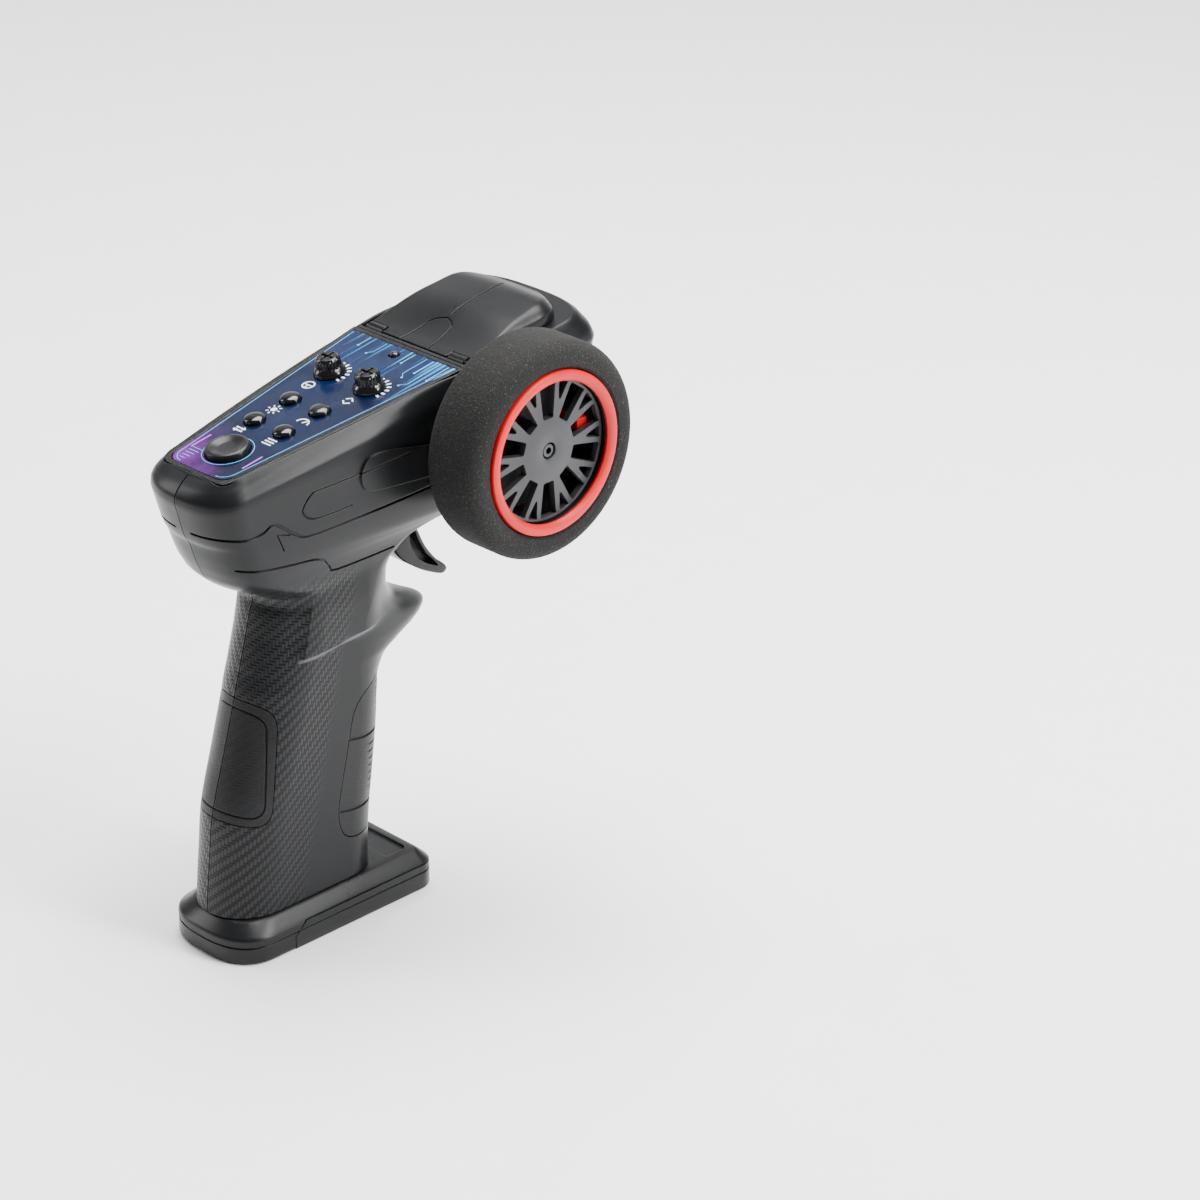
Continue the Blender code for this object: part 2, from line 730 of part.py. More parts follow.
def make_batteries():
    profile = [(0, 0), (5.5, 0), (CELL_RADIUS, 0.5), (CELL_RADIUS, 48.0), (3.0, 48.6), (2.7, 50.0), (0, 50.0)]
    wrap = insulator("cell_wrap", (0.03, 0.07, 0.2))
    for name, y in (("battery_cell_rear", -CELL_Y), ("battery_cell_front", CELL_Y)):
        place = Matrix.Translation((0, y, CELL_BOTTOM))
        if y > 0:
            place = place @ Matrix.Translation((0, 0, CELL_LENGTH)) @ Matrix.Rotation(math.pi, 4, "X")
        mesh_object(name, *lathe(profile, 16), wrap, place)
    box = mesh_object("battery_box", *cell_box(0.0, 12.2, 63.0), black_plastic())
    for y in (-CELL_Y, CELL_Y):
        bay = moved(rod(CELL_RADIUS + CELL_CLEARANCE, 8.0, 61.8), Matrix.Translation((0, y, 0)))
        boolean(box, mesh_object("tool", *bay, None))
    for name, y in (("battery_contact_rear", -CELL_Y), ("battery_contact_front", CELL_Y)):
        mesh_object(name, *block(-4.0, 4.0, y - 4.0, y + 4.0, 60.9, 61.4), nickel())
        spring = coil(4.6, 0.4, 3.3, SPRING_TOP, 3.0, 10, 4, top_radius=2.6)
        spring_name = name.replace("contact", "spring")
        mesh_object(spring_name, *spring, nickel(), Matrix.Translation((0, y, 0)))
    mesh_object("battery_bridge_plate", *block(-5.6, 5.6, -13.6, 13.6, 2.5, 2.85), nickel())


# ---------------------------------------------------------------- control panel

def button_places():
    yield "button_power", POWER_BUTTON
    for name, (x, s) in SMALL_BUTTONS.items():
        yield name, (x, s, SMALL_BUTTON_RADIUS)


def disc_on_panel(x, s, radius, low, high, steps=16):
    return moved(rod(radius, low, high, steps), PANEL @ Matrix.Translation((x, s, 0)))


def panel_holes(extra):
    shapes = []
    for _, (x, s, r) in button_places():
        shapes.append(disc_on_panel(x, s, r + extra, -4.0, 3.0, 28 if r > 4 else 16))
    shapes += [disc_on_panel(x, TRIM_S, 3.4 + extra, -4.0, 3.0) for x in (-TRIM_X, TRIM_X)]
    shapes.append(disc_on_panel(0.0, LED_S, 1.8 + extra, -4.0, 3.0, 16))
    return join_shapes(shapes)


def make_control_panel():
    frame = mesh_object("control_panel", *panel_prism(panel_outline(0.0), -1.6, 0.0), gloss_black())
    boolean(frame, mesh_object("tool", *panel_prism(panel_outline(1.2), -0.75, 3.0), None))
    boolean(frame, mesh_object("tool", *panel_holes(GAP), None))
    label = mesh_object("panel_overlay", *panel_prism(panel_outline(1.5), -0.45, 0.0), panel_print())
    return boolean(label, mesh_object("tool", *panel_holes(GAP), None))


def make_button(name, x, s, radius):
    """A domed cap with a retaining flange below the panel."""
    top = 1.9 if radius > 4 else 1.7
    profile = [(0, -3.3), (1.6, -3.3), (1.6, -2.9), (radius + 0.9, -2.9), (radius + 0.9, -1.95),
               (radius, -1.95), (radius, top - 0.9), (radius * 0.86, top - 0.25), (radius * 0.55, top),
               (0, top + 0.05)]
    steps = 28 if radius > 4 else 16
    return mesh_object(name, *lathe(profile, steps), gloss_black(), PANEL @ Matrix.Translation((x, s, 0)))


def make_trim_knob(name, x):
    profile = [(0, -2.9), (1.5, -2.9), (1.5, -1.0), (3.2, -1.0), (3.2, 0.2), (4.6, 0.3), (4.2, 1.7),
               (3.5, 2.2), (3.3, 4.8), (2.9, 5.2), (0, 5.2)]
    knob = mesh_object(name, *lathe(profile, 20), gloss_black(), PANEL @ Matrix.Translation((x, TRIM_S, 0)))
    slot = moved(block(-2.4, 2.4, -0.45, 0.45, 4.4, 7.0), PANEL @ Matrix.Translation((x, TRIM_S, 0)))
    cross = moved(block(-0.45, 0.45, -2.4, 2.4, 4.4, 7.0), PANEL @ Matrix.Translation((x, TRIM_S, 0)))
    boolean_about_origin(knob, slot)
    return boolean_about_origin(knob, cross)


def boolean_about_origin(target, shape):
    """Cuts a shape that is given in world millimetres."""
    return boolean(target, mesh_object("tool", *shape, None))


def make_electronics():
    def at(x, s, t):
        return PANEL @ Matrix.Translation((x, s, t))

    outline = [(-10.5, 6.0), (10.5, 6.0), (15.5, 70.0), (15.5, 77.0), (-15.5, 77.0), (-15.5, 70.0)]
    board = mesh_object("main_circuit_board", *panel_prism(outline, BOARD_T - 1.6, BOARD_T), board_green())
    dark = insulator("switch_body", (0.03, 0.03, 0.03))
    for name, (x, s, _) in button_places():
        switch = join_steps(((3.1, 0.0), (3.1, 3.6)), ((1.5, 3.6), (1.5, 4.9)))
        mesh_object(name.replace("button", "tact_switch"), *switch, dark, at(x, s, BOARD_T + GAP))
    for name, x in (("trim_potentiometer_left", -TRIM_X), ("trim_potentiometer_right", TRIM_X)):
        mesh_object(name, *block(-4.6, 4.6, -4.6, 4.6, 0.0, 5.6), dark, at(x, TRIM_S, BOARD_T + GAP))
    led = [(0, -6.0), (1.5, -6.0), (1.5, -1.2), (1.3, -0.4), (0.8, 0.1), (0, 0.3)]
    lens = material("lamp_lens", (0.02, 0.02, 0.025), 0.1)
    mesh_object("status_lamp", *lathe(led, 16), lens, at(0, LED_S, 0))
    return board


def join_steps(lower, upper):
    """A square-footed switch body with its round plunger, as one turned and one extruded step."""
    half, top = lower[0][0], lower[1][1]
    radius, plunger = upper[0][0], upper[1][1]
    square = [(-half, -half), (half, -half), (half, half), (-half, half)]
    rings = []
    for height in (0.0, top):
        rings.append([(x, y, height) for x, y in dense_square(square)])
    for height in (top, plunger):
        ring = []
        for x, y in dense_square(square):
            angle = math.atan2(y, x)
            ring.append((radius * math.cos(angle), radius * math.sin(angle), height))
        rings.append(ring)
    return loft(rings)


def dense_square(square):
    points = []
    for i, (x, y) in enumerate(square):
        nx, ny = square[(i + 1) % 4]
        points += [(x + (nx - x) * f, y + (ny - y) * f) for f in (0.0, 0.5)]
    return points


# ---------------------------------------------------------------- lid

def lid_top(x, s):
    """Height t of the lid's top: flush at the hinge, proud in front, crowned across and rounded off."""
    rise = 2.1 * ease(s, 82.0, 104.0)
    crown = 0.9 * ease(s, 84.0, 100.0) * (1 - (x / LID_HALF_WIDTH) ** 2)
    nose = 3.0 * ease(s, 110.0, 121.5) ** 2
    return rise + crown - nose


def lid_half_width(s):
    grow = LID_HALF_WIDTH - 0.7 + 0.7 * ease(s, 80.0, 100.0)
    corner = 11.0
    if s > LID_FRONT_S - corner:
        f = (s - LID_FRONT_S + corner) / corner
        grow -= corner * (1 - math.sqrt(max(1 - f ** 2, 0.0)))
    return grow


def lid_section(s, inset, drop, floor):
    """A slice of the lid across the head: flat underneath, crowned on top, with rounded edges."""
    half = lid_half_width(s) - inset
    ring = [(-half, s, floor(s)), (half, s, floor(s))]
    steps = 8
    edge = max(lid_top(half, s) - drop - 0.9, floor(s) + 0.05)
    ring.append((half, s, edge))
    for k in range(steps + 1):
        x = half * math.cos(math.pi * k / steps) * 0.985
        ring.append((x, s, max(lid_top(x, s) - drop, floor(s) + 0.1)))
    ring.append((-half, s, edge))
    return [tuple(on_panel(*p)) for p in ring]


def deck_t(s):
    return -deck_drop(s, 0.0)


def lid_stations(start, stop):
    """Places along the lid, closer together at its rounded front corners."""
    even = [start + (stop - 9.0 - start) * k / 8 for k in range(9)]
    return even + [stop - 9.0 + 9.0 * math.sin(math.pi / 2 * k / 5) for k in range(1, 6)]


def make_lid():
    def shell_floor(s):
        return -1.5 if s < LID_PIN_S + 2.2 else min(LID_RECESS_T, deck_t(s)) + 2 * GAP

    turn = LID_PIN_S + 2.1
    stations = [LID_REAR_S, turn] + lid_stations(turn + 0.2, LID_FRONT_S - 0.3)
    skin = loft([lid_section(s, 0.0, 0.0, shell_floor) for s in stations])
    lid = mesh_object("flip_lid", *skin, black_plastic())
    hollow = lid_stations(LID_PIN_S + 4.6, LID_FRONT_S - 2.0)
    inner = [lid_section(s, 1.6, 1.7, lambda _: -8.0) for s in hollow]
    boolean(lid, mesh_object("tool", *loft(inner), None))
    axis = Matrix.Translation(on_panel(0, LID_PIN_S, LID_PIN_T)) @ Matrix.Rotation(math.pi / 2, 4, "Y")
    for low, high in ((-19.6, -13.4), (13.4, 19.6)):
        boolean(lid, mesh_object("tool", *moved(rod(1.75, low, high), axis), None), "UNION")
        boolean(lid, mesh_object("tool", *moved(rod(1.0, low - 2, high + 3.5, 12), axis), None))
    set_origin(lid, on_panel(0, LID_PIN_S, LID_PIN_T))
    for name, low, high in (("lid_pin_left", -21.3, -12.6), ("lid_pin_right", 12.6, 21.3)):
        mesh_object(name, *moved(rod(0.7, low, high, 12), axis), steel())
    return lid


def set_origin(target, place):
    """Moves an object's origin to a point given in millimetres, leaving its shape where it is."""
    shift = Vector(place) * MM - target.location
    target.data.transform(Matrix.Translation(-shift))
    target.location += shift


# ---------------------------------------------------------------- steering wheel

def at_wheel(x=0.0):
    return along_x(x, WHEEL_Y, WHEEL_Z)


def spoke_windows():
    """The openings of the spoke disc: one between each pair of spokes and one inside each fork."""
    shapes = []
    pitch = 2 * math.pi / SPOKES

    def sector(middle, low, high, half_low, half_high):
        corners = []
        ends = ((low, -1, half_low), (high, -1, half_high), (high, 1, half_high), (low, 1, half_low))
        for radius, side, half in ends:
            angle = middle + side * half / radius
            corners.append((radius * math.cos(angle), radius * math.sin(angle)))
        return prism(corners, -5.0, 5.0)

    for k in range(SPOKES):
        middle = pitch * k
        shapes.append(sector(middle, 9.4, 19.4, 1.9, 2.9))
        shapes.append(sector(middle + pitch / 2, 14.6, 19.4, 0.35, 1.75))
    return join_shapes(shapes)


def make_wheel():
    edge = 4.2
    r, back, front = TYRE_RADIUS, TYRE_BACK_X, TYRE_FRONT_X
    tyre = [(TYRE_INNER, back + 0.6), (r - edge, back), (r - 1.2, back + 1.6), (r, back + edge + 0.6),
            (r, front - edge), (r - 0.9, front - 1.8), (r - 2.4, front - 0.5), (r - edge, front),
            (TYRE_INNER, front - 0.2)]
    mesh_object("foam_tyre", *lathe(tyre, WHEEL_STEPS, closed=True), foam(), at_wheel())
    seat = TYRE_INNER - GAP
    rim = [(2.9, 29.6), (5.5, 29.6), (5.5, 32.4), (seat, 32.4), (seat, 48.8), (RING_INNER + 0.2, 48.8),
           (RING_INNER + 0.2, 34.6), (6.0, 34.6), (5.0, 45.2), (2.9, 45.2)]
    mesh_object("wheel_rim", *lathe(rim, WHEEL_STEPS, closed=True), gloss_black(), at_wheel())
    ring = [(RING_INNER, 49.1), (seat, 49.1), (seat, 50.4), (seat - 0.8, 50.9), (RING_INNER + 0.5, 50.7),
            (RING_INNER - 0.3, 49.9)]
    mesh_object("wheel_ring", *lathe(ring, WHEEL_STEPS, closed=True), red_plastic(), at_wheel())
    disc = tube(2.4, RING_INNER - 0.2, -1.2, 1.2, WHEEL_STEPS)
    disc = mesh_object("wheel_spokes", *disc, grey_plastic(), at_wheel(47.2))
    boolean(disc, mesh_object("tool", *spoke_windows(), None, at_wheel(47.2)))
    mesh_object("steering_shaft", *rod(2.5, -13.6, 44.6, 20), steel(), at_wheel())
    screw = [(0, 44.9), (2.0, 44.9), (2.0, 46.6), (1.6, 47.0), (0, 47.0)]
    mesh_object("wheel_screw", *lathe(screw, 16), steel(), at_wheel())
    mesh_object("steering_bush", *tube(2.6, 5.1, 18.2, 29.0), grey_plastic(), at_wheel())
    spring = coil(5.4, 0.55, 5.0, 11.5, 4.0, 10, 4)
    mesh_object("steering_return_spring", *spring, steel(), at_wheel())
    lever = mesh_object("steering_return_lever", *tube(2.8, 5.2, 12.6, 15.0), grey_plastic(), at_wheel())
    arm = block(12.6, 15.0, WHEEL_Y - 2.0, WHEEL_Y + 2.0, WHEEL_Z - 13.0, WHEEL_Z - 4.0)
    boolean(lever, mesh_object("tool", *arm, None), "UNION")
    pot = block(-19.2, -14.0, WHEEL_Y - 7.0, WHEEL_Y + 7.0, WHEEL_Z - 7.0, WHEEL_Z + 7.0)
    mesh_object("steering_potentiometer", *pot, insulator("pot_body", (0.05, 0.05, 0.12)))


# ---------------------------------------------------------------- trigger

TRIGGER_PATH = [(48.8, 121.6), (45.6, 113.0), (43.4, 107.3), (44.6, 103.4), (46.9, 98.7), (50.3, 94.2),
                (52.8, 92.0), (54.4, 90.2), (54.0, 88.9), (52.0, 88.6), (46.1, 91.4), (41.6, 94.4),
                (37.6, 97.6), (34.9, 101.6), (34.0, 106.5), (35.6, 113.6), (39.2, 121.6)]
FINGER_HOLLOW = [(42.4, 105.5), (43.8, 101.6), (46.4, 97.0), (49.6, 93.6), (51.2, 91.4), (46.8, 93.6),
                 (43.2, 96.4), (41.0, 100.0), (40.2, 104.6)]


def make_trigger():
    half = TRIGGER_HALF_WIDTH
    trigger = mesh_object("trigger", *prism(TRIGGER_PATH, -half, half, axis="X"), black_plastic())
    hub = moved(rod(5.0, -half - 0.2, half + 0.2), along_x(0, TRIGGER_Y, TRIGGER_Z))
    boolean(trigger, mesh_object("tool", *hub, None), "UNION")
    bore = moved(rod(1.6, -20.0, 20.0, 16), along_x(0, TRIGGER_Y, TRIGGER_Z))
    boolean(trigger, mesh_object("tool", *bore, None))
    for side in (-1, 1):
        hollow = prism(FINGER_HOLLOW, *in_order(side * (half - 3.2), side * 9.0), axis="X")
        boolean(trigger, mesh_object("tool", *hollow, None))
    set_origin(trigger, (0.0, TRIGGER_Y, TRIGGER_Z))
    place = along_x(0, TRIGGER_Y, TRIGGER_Z)
    mesh_object("trigger_pin", *rod(1.5, -16.8, 15.4, 16), steel(), place)
    mesh_object("trigger_return_spring", *coil(3.3, 0.25, 5.4, 6.8, 2.2, 10, 4), steel(), place)
    pot = mesh_object("trigger_potentiometer", *block(-12.9, -7.6, 38.4, 49.6, 118.4, 129.6),
                      insulator("pot_body", (0.05, 0.05, 0.12)))
    boolean(pot, mesh_object("tool", *moved(rod(1.8, -20.0, 0.0, 16), place), None))


# ---------------------------------------------------------------- small parts

def make_screws():
    """Five screws through the left casing and two up through the foot."""
    profile = [(0, 0), (2.6, 0), (2.6, 1.4), (1.15, 1.8), (1.15, 17.0), (0, 17.4)]
    for number, (y, z) in enumerate(SCREW_PLACES, 1):
        place = Matrix.Translation((-10.6, y, z)) @ Matrix.Rotation(math.pi / 2, 4, "Y")
        mesh_object(f"casing_screw_{number}", *lathe(profile, 10), steel(), place)
    short = [(0, 0), (2.5, 0), (2.5, 1.2), (1.1, 1.5), (1.1, 6.0), (0, 6.3)]
    for name, x in (("foot_screw_left", -FOOT_SCREW_X), ("foot_screw_right", FOOT_SCREW_X)):
        mesh_object(name, *lathe(short, 10), steel(), Matrix.Translation((x, 0.0, 8.1)))


def make_wiring():
    """The battery lead up the grip and the aerial wire, both inside the casings."""
    dark = insulator("lead_sleeve", (0.01, 0.01, 0.01))
    grey = insulator("aerial_sleeve", (0.25, 0.25, 0.25))
    lead = [(3.0, -2.0, 64.2), (3.0, 2.0, 78.0), (4.0, 6.0, 95.0), (6.0, 8.0, 112.0), (8.0, 8.0, 128.0),
            (8.0, 6.0, 137.5)]
    mesh_object("battery_lead", *wire_run(lead, 0.9), dark)
    aerial = [(-9.0, -12.0, 134.0), (-11.5, -4.0, 130.0), (-12.0, 12.0, 128.0), (-12.0, 26.0, 131.0),
              (-12.0, 33.0, 136.0)]
    mesh_object("aerial_wire", *wire_run(aerial, 0.7), grey)


def main():
    clear_scene()
    make_casing("left_casing", -1)
    right = make_casing("right_casing", 1)
    add_wheel_boss(right)
    for side, sign in (("left", -1), ("right", 1)):
        make_pad(f"palm_insert_{side}", sign, PALM_OUTLINE)
        make_pad(f"finger_grip_{side}", sign, FINGER_OUTLINE)
    make_foot()
    make_battery_cover()
    make_batteries()
    make_control_panel()
    for name, (x, s, radius) in button_places():
        make_button(name, x, s, radius)
    make_trim_knob("trim_knob_left", -TRIM_X)
    make_trim_knob("trim_knob_right", TRIM_X)
    make_electronics()
    make_lid()
    make_wheel()
    make_trigger()
    make_screws()
    make_wiring()


main()
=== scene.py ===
"""The looks of a pistol-grip radio transmitter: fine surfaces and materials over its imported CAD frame."""
import math

import bmesh
import bpy
import numpy as np
from mathutils import Matrix, Vector


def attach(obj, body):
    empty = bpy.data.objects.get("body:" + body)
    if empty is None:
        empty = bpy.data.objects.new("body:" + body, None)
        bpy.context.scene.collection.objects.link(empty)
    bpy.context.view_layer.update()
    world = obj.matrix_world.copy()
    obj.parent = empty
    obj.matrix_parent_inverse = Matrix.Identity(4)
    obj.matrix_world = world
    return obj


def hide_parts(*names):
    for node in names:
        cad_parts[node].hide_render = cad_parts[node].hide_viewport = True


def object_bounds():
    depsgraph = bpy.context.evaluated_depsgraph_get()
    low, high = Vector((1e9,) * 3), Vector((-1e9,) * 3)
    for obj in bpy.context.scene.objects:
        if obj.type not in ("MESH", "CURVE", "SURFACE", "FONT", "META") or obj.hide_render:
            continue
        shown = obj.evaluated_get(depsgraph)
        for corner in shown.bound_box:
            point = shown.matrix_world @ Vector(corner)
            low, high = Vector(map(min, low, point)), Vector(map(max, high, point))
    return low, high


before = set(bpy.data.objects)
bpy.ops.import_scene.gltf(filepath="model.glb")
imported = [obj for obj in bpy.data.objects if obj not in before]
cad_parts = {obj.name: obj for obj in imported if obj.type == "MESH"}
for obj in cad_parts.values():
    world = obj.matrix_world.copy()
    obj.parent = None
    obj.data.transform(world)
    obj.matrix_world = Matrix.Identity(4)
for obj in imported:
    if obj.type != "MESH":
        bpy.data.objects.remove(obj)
FRAME_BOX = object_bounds()
MM = 0.001
QUARTER = math.pi / 2

# ---------------------------------------------------------------- mesh tools

SHARP_NEW, SHARP_CUT, FLAT = (math.radians(a) for a in (35.0, 30.0, 0.02))


def reworked(mesh, change):
    """Runs one bmesh operation on a mesh."""
    work = bmesh.new()
    work.from_mesh(mesh)
    change(work)
    work.to_mesh(mesh)
    work.free()


def shaded(mesh, sharp):
    """Smooth shading but for the sharp edges."""
    mesh.shade_smooth()
    mesh.set_sharp_from_angle(angle=sharp)


def new_object(name, points, faces, look=None, matrix=None):
    """One object from points in millimetres, faces turned outwards."""
    mesh = bpy.data.meshes.new(name)
    mesh.from_pydata([tuple(c * MM for c in p) for p in points], [], [list(f) for f in faces])
    reworked(mesh, lambda work: bmesh.ops.recalc_face_normals(work, faces=work.faces))
    if matrix is not None:
        m = matrix.copy()
        m.translation = m.translation * MM
        mesh.transform(m)
    shaded(mesh, SHARP_NEW)
    if look:
        mesh.materials.append(look)
    made = bpy.data.objects.new(name, mesh)
    bpy.context.scene.collection.objects.link(made)
    return made


def cut(target, shape, operation="DIFFERENCE"):
    """Cuts or joins a closed shape, given as (points, faces) in millimetres or as an object."""
    tool = shape if isinstance(shape, bpy.types.Object) else new_object("tool", *shape)
    for obj in (target, tool):
        reworked(obj.data, lambda work: bmesh.ops.triangulate(work, faces=work.faces))
    modifier = target.modifiers.new("cut", "BOOLEAN")
    modifier.operation = operation
    modifier.solver = "EXACT"
    modifier.object = tool
    bpy.context.view_layer.update()
    graph = bpy.context.evaluated_depsgraph_get()
    result = bpy.data.meshes.new_from_object(target.evaluated_get(graph))
    target.modifiers.clear()
    target.data = result
    reworked(target.data, lambda work: bmesh.ops.dissolve_limit(
        work, angle_limit=FLAT, verts=work.verts, edges=work.edges))
    shaded(target.data, SHARP_CUT)
    bpy.data.objects.remove(tool)
    return target


def loft(rings, close=True):
    """A skin through rings of equal length, capped at both ends."""
    n = len(rings[0])
    points = [p for ring in rings for p in ring]
    faces = [list(range(n))[::-1], [(len(rings) - 1) * n + i for i in range(n)]] if close else []
    for k in range(len(rings) - 1):
        for i in range(n):
            j = (i + 1) % n
            faces.append([k * n + i, k * n + j, (k + 1) * n + j, (k + 1) * n + i])
    return points, faces


def prism(outline, low, high, axis="Z"):
    """An outline drawn out along Z, or an outline in (y, z) drawn out along X."""
    def place(a, b, c):
        return (a, b, c) if axis == "Z" else (c, a, b)

    return loft([[place(a, b, c) for a, b in outline] for c in (low, high)])


def join_shapes(shapes):
    points, faces = [], []
    for p, f in shapes:
        base = len(points)
        points += list(p)
        faces += [[base + i for i in face] for face in f]
    return points, faces


def moved(shape, matrix):
    return [tuple(matrix @ Vector(p)) for p in shape[0]], shape[1]


def lathe(profile, steps=64, closed=False):
    """A (radius, height) profile turned about local Z."""
    points, faces, rows = [], [], []
    for radius, height in profile:
        if radius < 1e-6:
            rows.append([len(points)] * steps)
            points.append((0.0, 0.0, height))
            continue
        rows.append([len(points) + i for i in range(steps)])
        for i in range(steps):
            a = 2 * math.pi * i / steps
            points.append((radius * math.cos(a), radius * math.sin(a), height))
    for low, high in zip(rows, rows[1:] + rows[:1] if closed else rows[1:]):
        for i in range(steps):
            j = (i + 1) % steps
            face = list(dict.fromkeys([low[i], low[j], high[j], high[i]]))
            if len(face) > 2:
                faces.append(face)
    return points, faces


def rod(radius, low, high, steps=32):
    return lathe([(0, low), (radius, low), (radius, high), (0, high)], steps)


def along_x(x, y, z):
    return Matrix.Translation((x, y, z)) @ Matrix.Rotation(QUARTER, 4, "Y")


def x_rod(radius, start, end, place, steps=32):
    """A rod along X at a (y, z) place, its ends in either order."""
    return moved(rod(radius, *sorted((start, end)), steps), along_x(0, *place))


def block(x0, x1, y0, y1, z0, z1):
    return prism([(x0, y0), (x1, y0), (x1, y1), (x0, y1)], z0, z1)


def softened(profile, radius, steps=4):
    """Rounds the inner corners of an open profile with a quadratic curve."""
    result = [profile[0]]
    for before, here, after in zip(profile, profile[1:], profile[2:]):
        b, h, a = Vector(before), Vector(here), Vector(after)
        start = h + (b - h).normalized() * min(radius, (b - h).length * 0.48)
        end = h + (a - h).normalized() * min(radius, (a - h).length * 0.48)
        for k in range(steps + 1):
            f = k / steps
            p = start * (1 - f) ** 2 + h * 2 * f * (1 - f) + end * f ** 2
            result.append((p.x, p.y))
    return result + [profile[-1]]


def softened_ring(corners, radius, steps=5):
    """Rounds every corner of a closed outline."""
    return softened([corners[-1], *corners, corners[0]], radius, steps)[1:-1]


def band(line, width):
    """A closed outline round a polyline, half a width to each side."""
    left, right = [], []
    for i, p in enumerate(line):
        a = Vector(line[max(i - 1, 0)])
        b = Vector(line[min(i + 1, len(line) - 1)])
        d = (b - a).normalized() * (width / 2)
        left.append((p[0] - d.y, p[1] + d.x))
        right.append((p[0] + d.y, p[1] - d.x))
    return left + right[::-1]


def curve_through(points, steps=6):
    """A smooth polyline through 2-D points."""
    out = []
    for i in range(len(points) - 1):
        a, b = Vector(points[max(i - 1, 0)]), Vector(points[i])
        c, d = Vector(points[i + 1]), Vector(points[min(i + 2, len(points) - 1)])
        for k in range(steps):
            f = k / steps
            bend = (2 * a - 5 * b + 4 * c - d) * f ** 2 + (3 * b - a - 3 * c + d) * f ** 3
            v = 0.5 * (2 * b + (c - a) * f + bend)
            out.append((v.x, v.y))
    return out + [tuple(points[-1])]


def polar(x, s, radius, angle):
    return (x + radius * math.cos(angle), s + radius * math.sin(angle))


def middle_of(outline):
    return sum((Vector(p) for p in outline), Vector((0, 0))) / len(outline)


def finish_piece(obj, body, slot, *nodes):
    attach(obj, body)
    if nodes:
        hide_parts(*nodes)
    return obj


# ---------------------------------------------------------------- materials


class Value:
    """A node's output that takes arithmetic."""

    def __init__(self, look, socket):
        self.look, self.socket = look, socket

    def __add__(self, other):
        return self.look.math("ADD", self, other)

    def __sub__(self, other):
        return self.look.math("SUBTRACT", self, other)

    def __mul__(self, other):
        return self.look.math("MULTIPLY", self, other)

    def __truediv__(self, other):
        return self.look.math("DIVIDE", self, other)


class Look:
    """A Principled material built from nodes, in object coordinates in metres."""

    def __init__(self, name, colour, roughness, metallic=0.0, coat=0.0, specular=0.5):
        self.mat = bpy.data.materials.new(name)
        self.mat.use_nodes = True
        self.tree = self.mat.node_tree
        self.bsdf = next(n for n in self.tree.nodes if n.type == "BSDF_PRINCIPLED")
        self.paint(colour)
        self.shine(roughness)
        self.put("Metallic", metallic)
        self.put("Coat Weight", coat)
        self.put("Specular IOR Level", specular)
        self.place = self.node("TexCoord", {}, "Object")
        self.normal = None

    def wire(self, value, socket):
        if isinstance(value, Value):
            self.tree.links.new(value.socket, socket)
        else:
            socket.default_value = (*value, 1) if socket.type == "RGBA" else value

    def put(self, key, value):
        self.wire(value, self.bsdf.inputs[key])

    def paint(self, colour):
        self.put("Base Color", colour)

    def shine(self, value):
        self.put("Roughness", value)

    def node(self, kind, inputs, output=0, **settings):
        """Adds a node with its settings and inputs, and gives one of its outputs."""
        made = self.tree.nodes.new("ShaderNode" + kind)
        for key, value in settings.items():
            setattr(made, key, value)
        for key, value in inputs.items():
            self.wire(value, made.inputs[key])
        return Value(self, made.outputs[output])

    def math(self, operation, *terms):
        return self.node("Math", dict(enumerate(terms)), operation=operation)

    def axes(self):
        first = self.node("SeparateXYZ", {0: self.place})
        return [Value(self, socket) for socket in first.socket.node.outputs]

    def stretched(self, vector, scale):
        return self.node("VectorMath", {0: vector, 1: scale}, "Vector", operation="MULTIPLY")

    def noise(self, scale, detail=3.0, rough=0.5, vector=None, distortion=0.0):
        return self.node("TexNoise", {"Vector": vector or self.place, "Scale": scale, "Detail": detail,
                                      "Roughness": rough, "Distortion": distortion})

    def cells(self, scale, feature="F1", vector=None, randomness=1.0):
        return self.node("TexVoronoi", {"Vector": vector or self.place, "Scale": scale,
                                        "Randomness": randomness}, "Distance", feature=feature)

    def ramp(self, value, low, high, to_low=0.0, to_high=1.0):
        """A smooth step from one level to another."""
        inputs = {"Value": value, "From Min": low, "From Max": high, "To Min": to_low, "To Max": to_high}
        return self.node("MapRange", inputs, "Result", interpolation_type="SMOOTHSTEP")

    def mix(self, factor, a, b):
        return self.node("Mix", {0: factor, 6: a, 7: b}, 2, data_type="RGBA")

    def tones(self, value, colour, dark, light, low=0.3, high=0.7):
        """Shades of one colour that follow a value."""
        return self.mix(self.ramp(value, low, high), scaled(colour, dark), scaled(colour, light))

    def bump(self, height, strength, distance):
        inputs = {"Strength": strength, "Distance": distance, "Height": height}
        if self.normal:
            inputs["Normal"] = self.normal
        self.normal = self.node("Bump", inputs, "Normal")
        self.put("Normal", self.normal)

    def soft_edges(self, radius):
        self.normal = self.node("Bevel", {"Radius": radius}, "Normal", samples=6)
        self.put("Normal", self.normal)

    def grain(self, strength):
        """The fine spark texture of a mould."""
        self.bump(self.noise(5200.0, 2.0, 0.6), strength, 0.00005)


def scaled(colour, factor):
    return tuple(c * factor for c in colour)


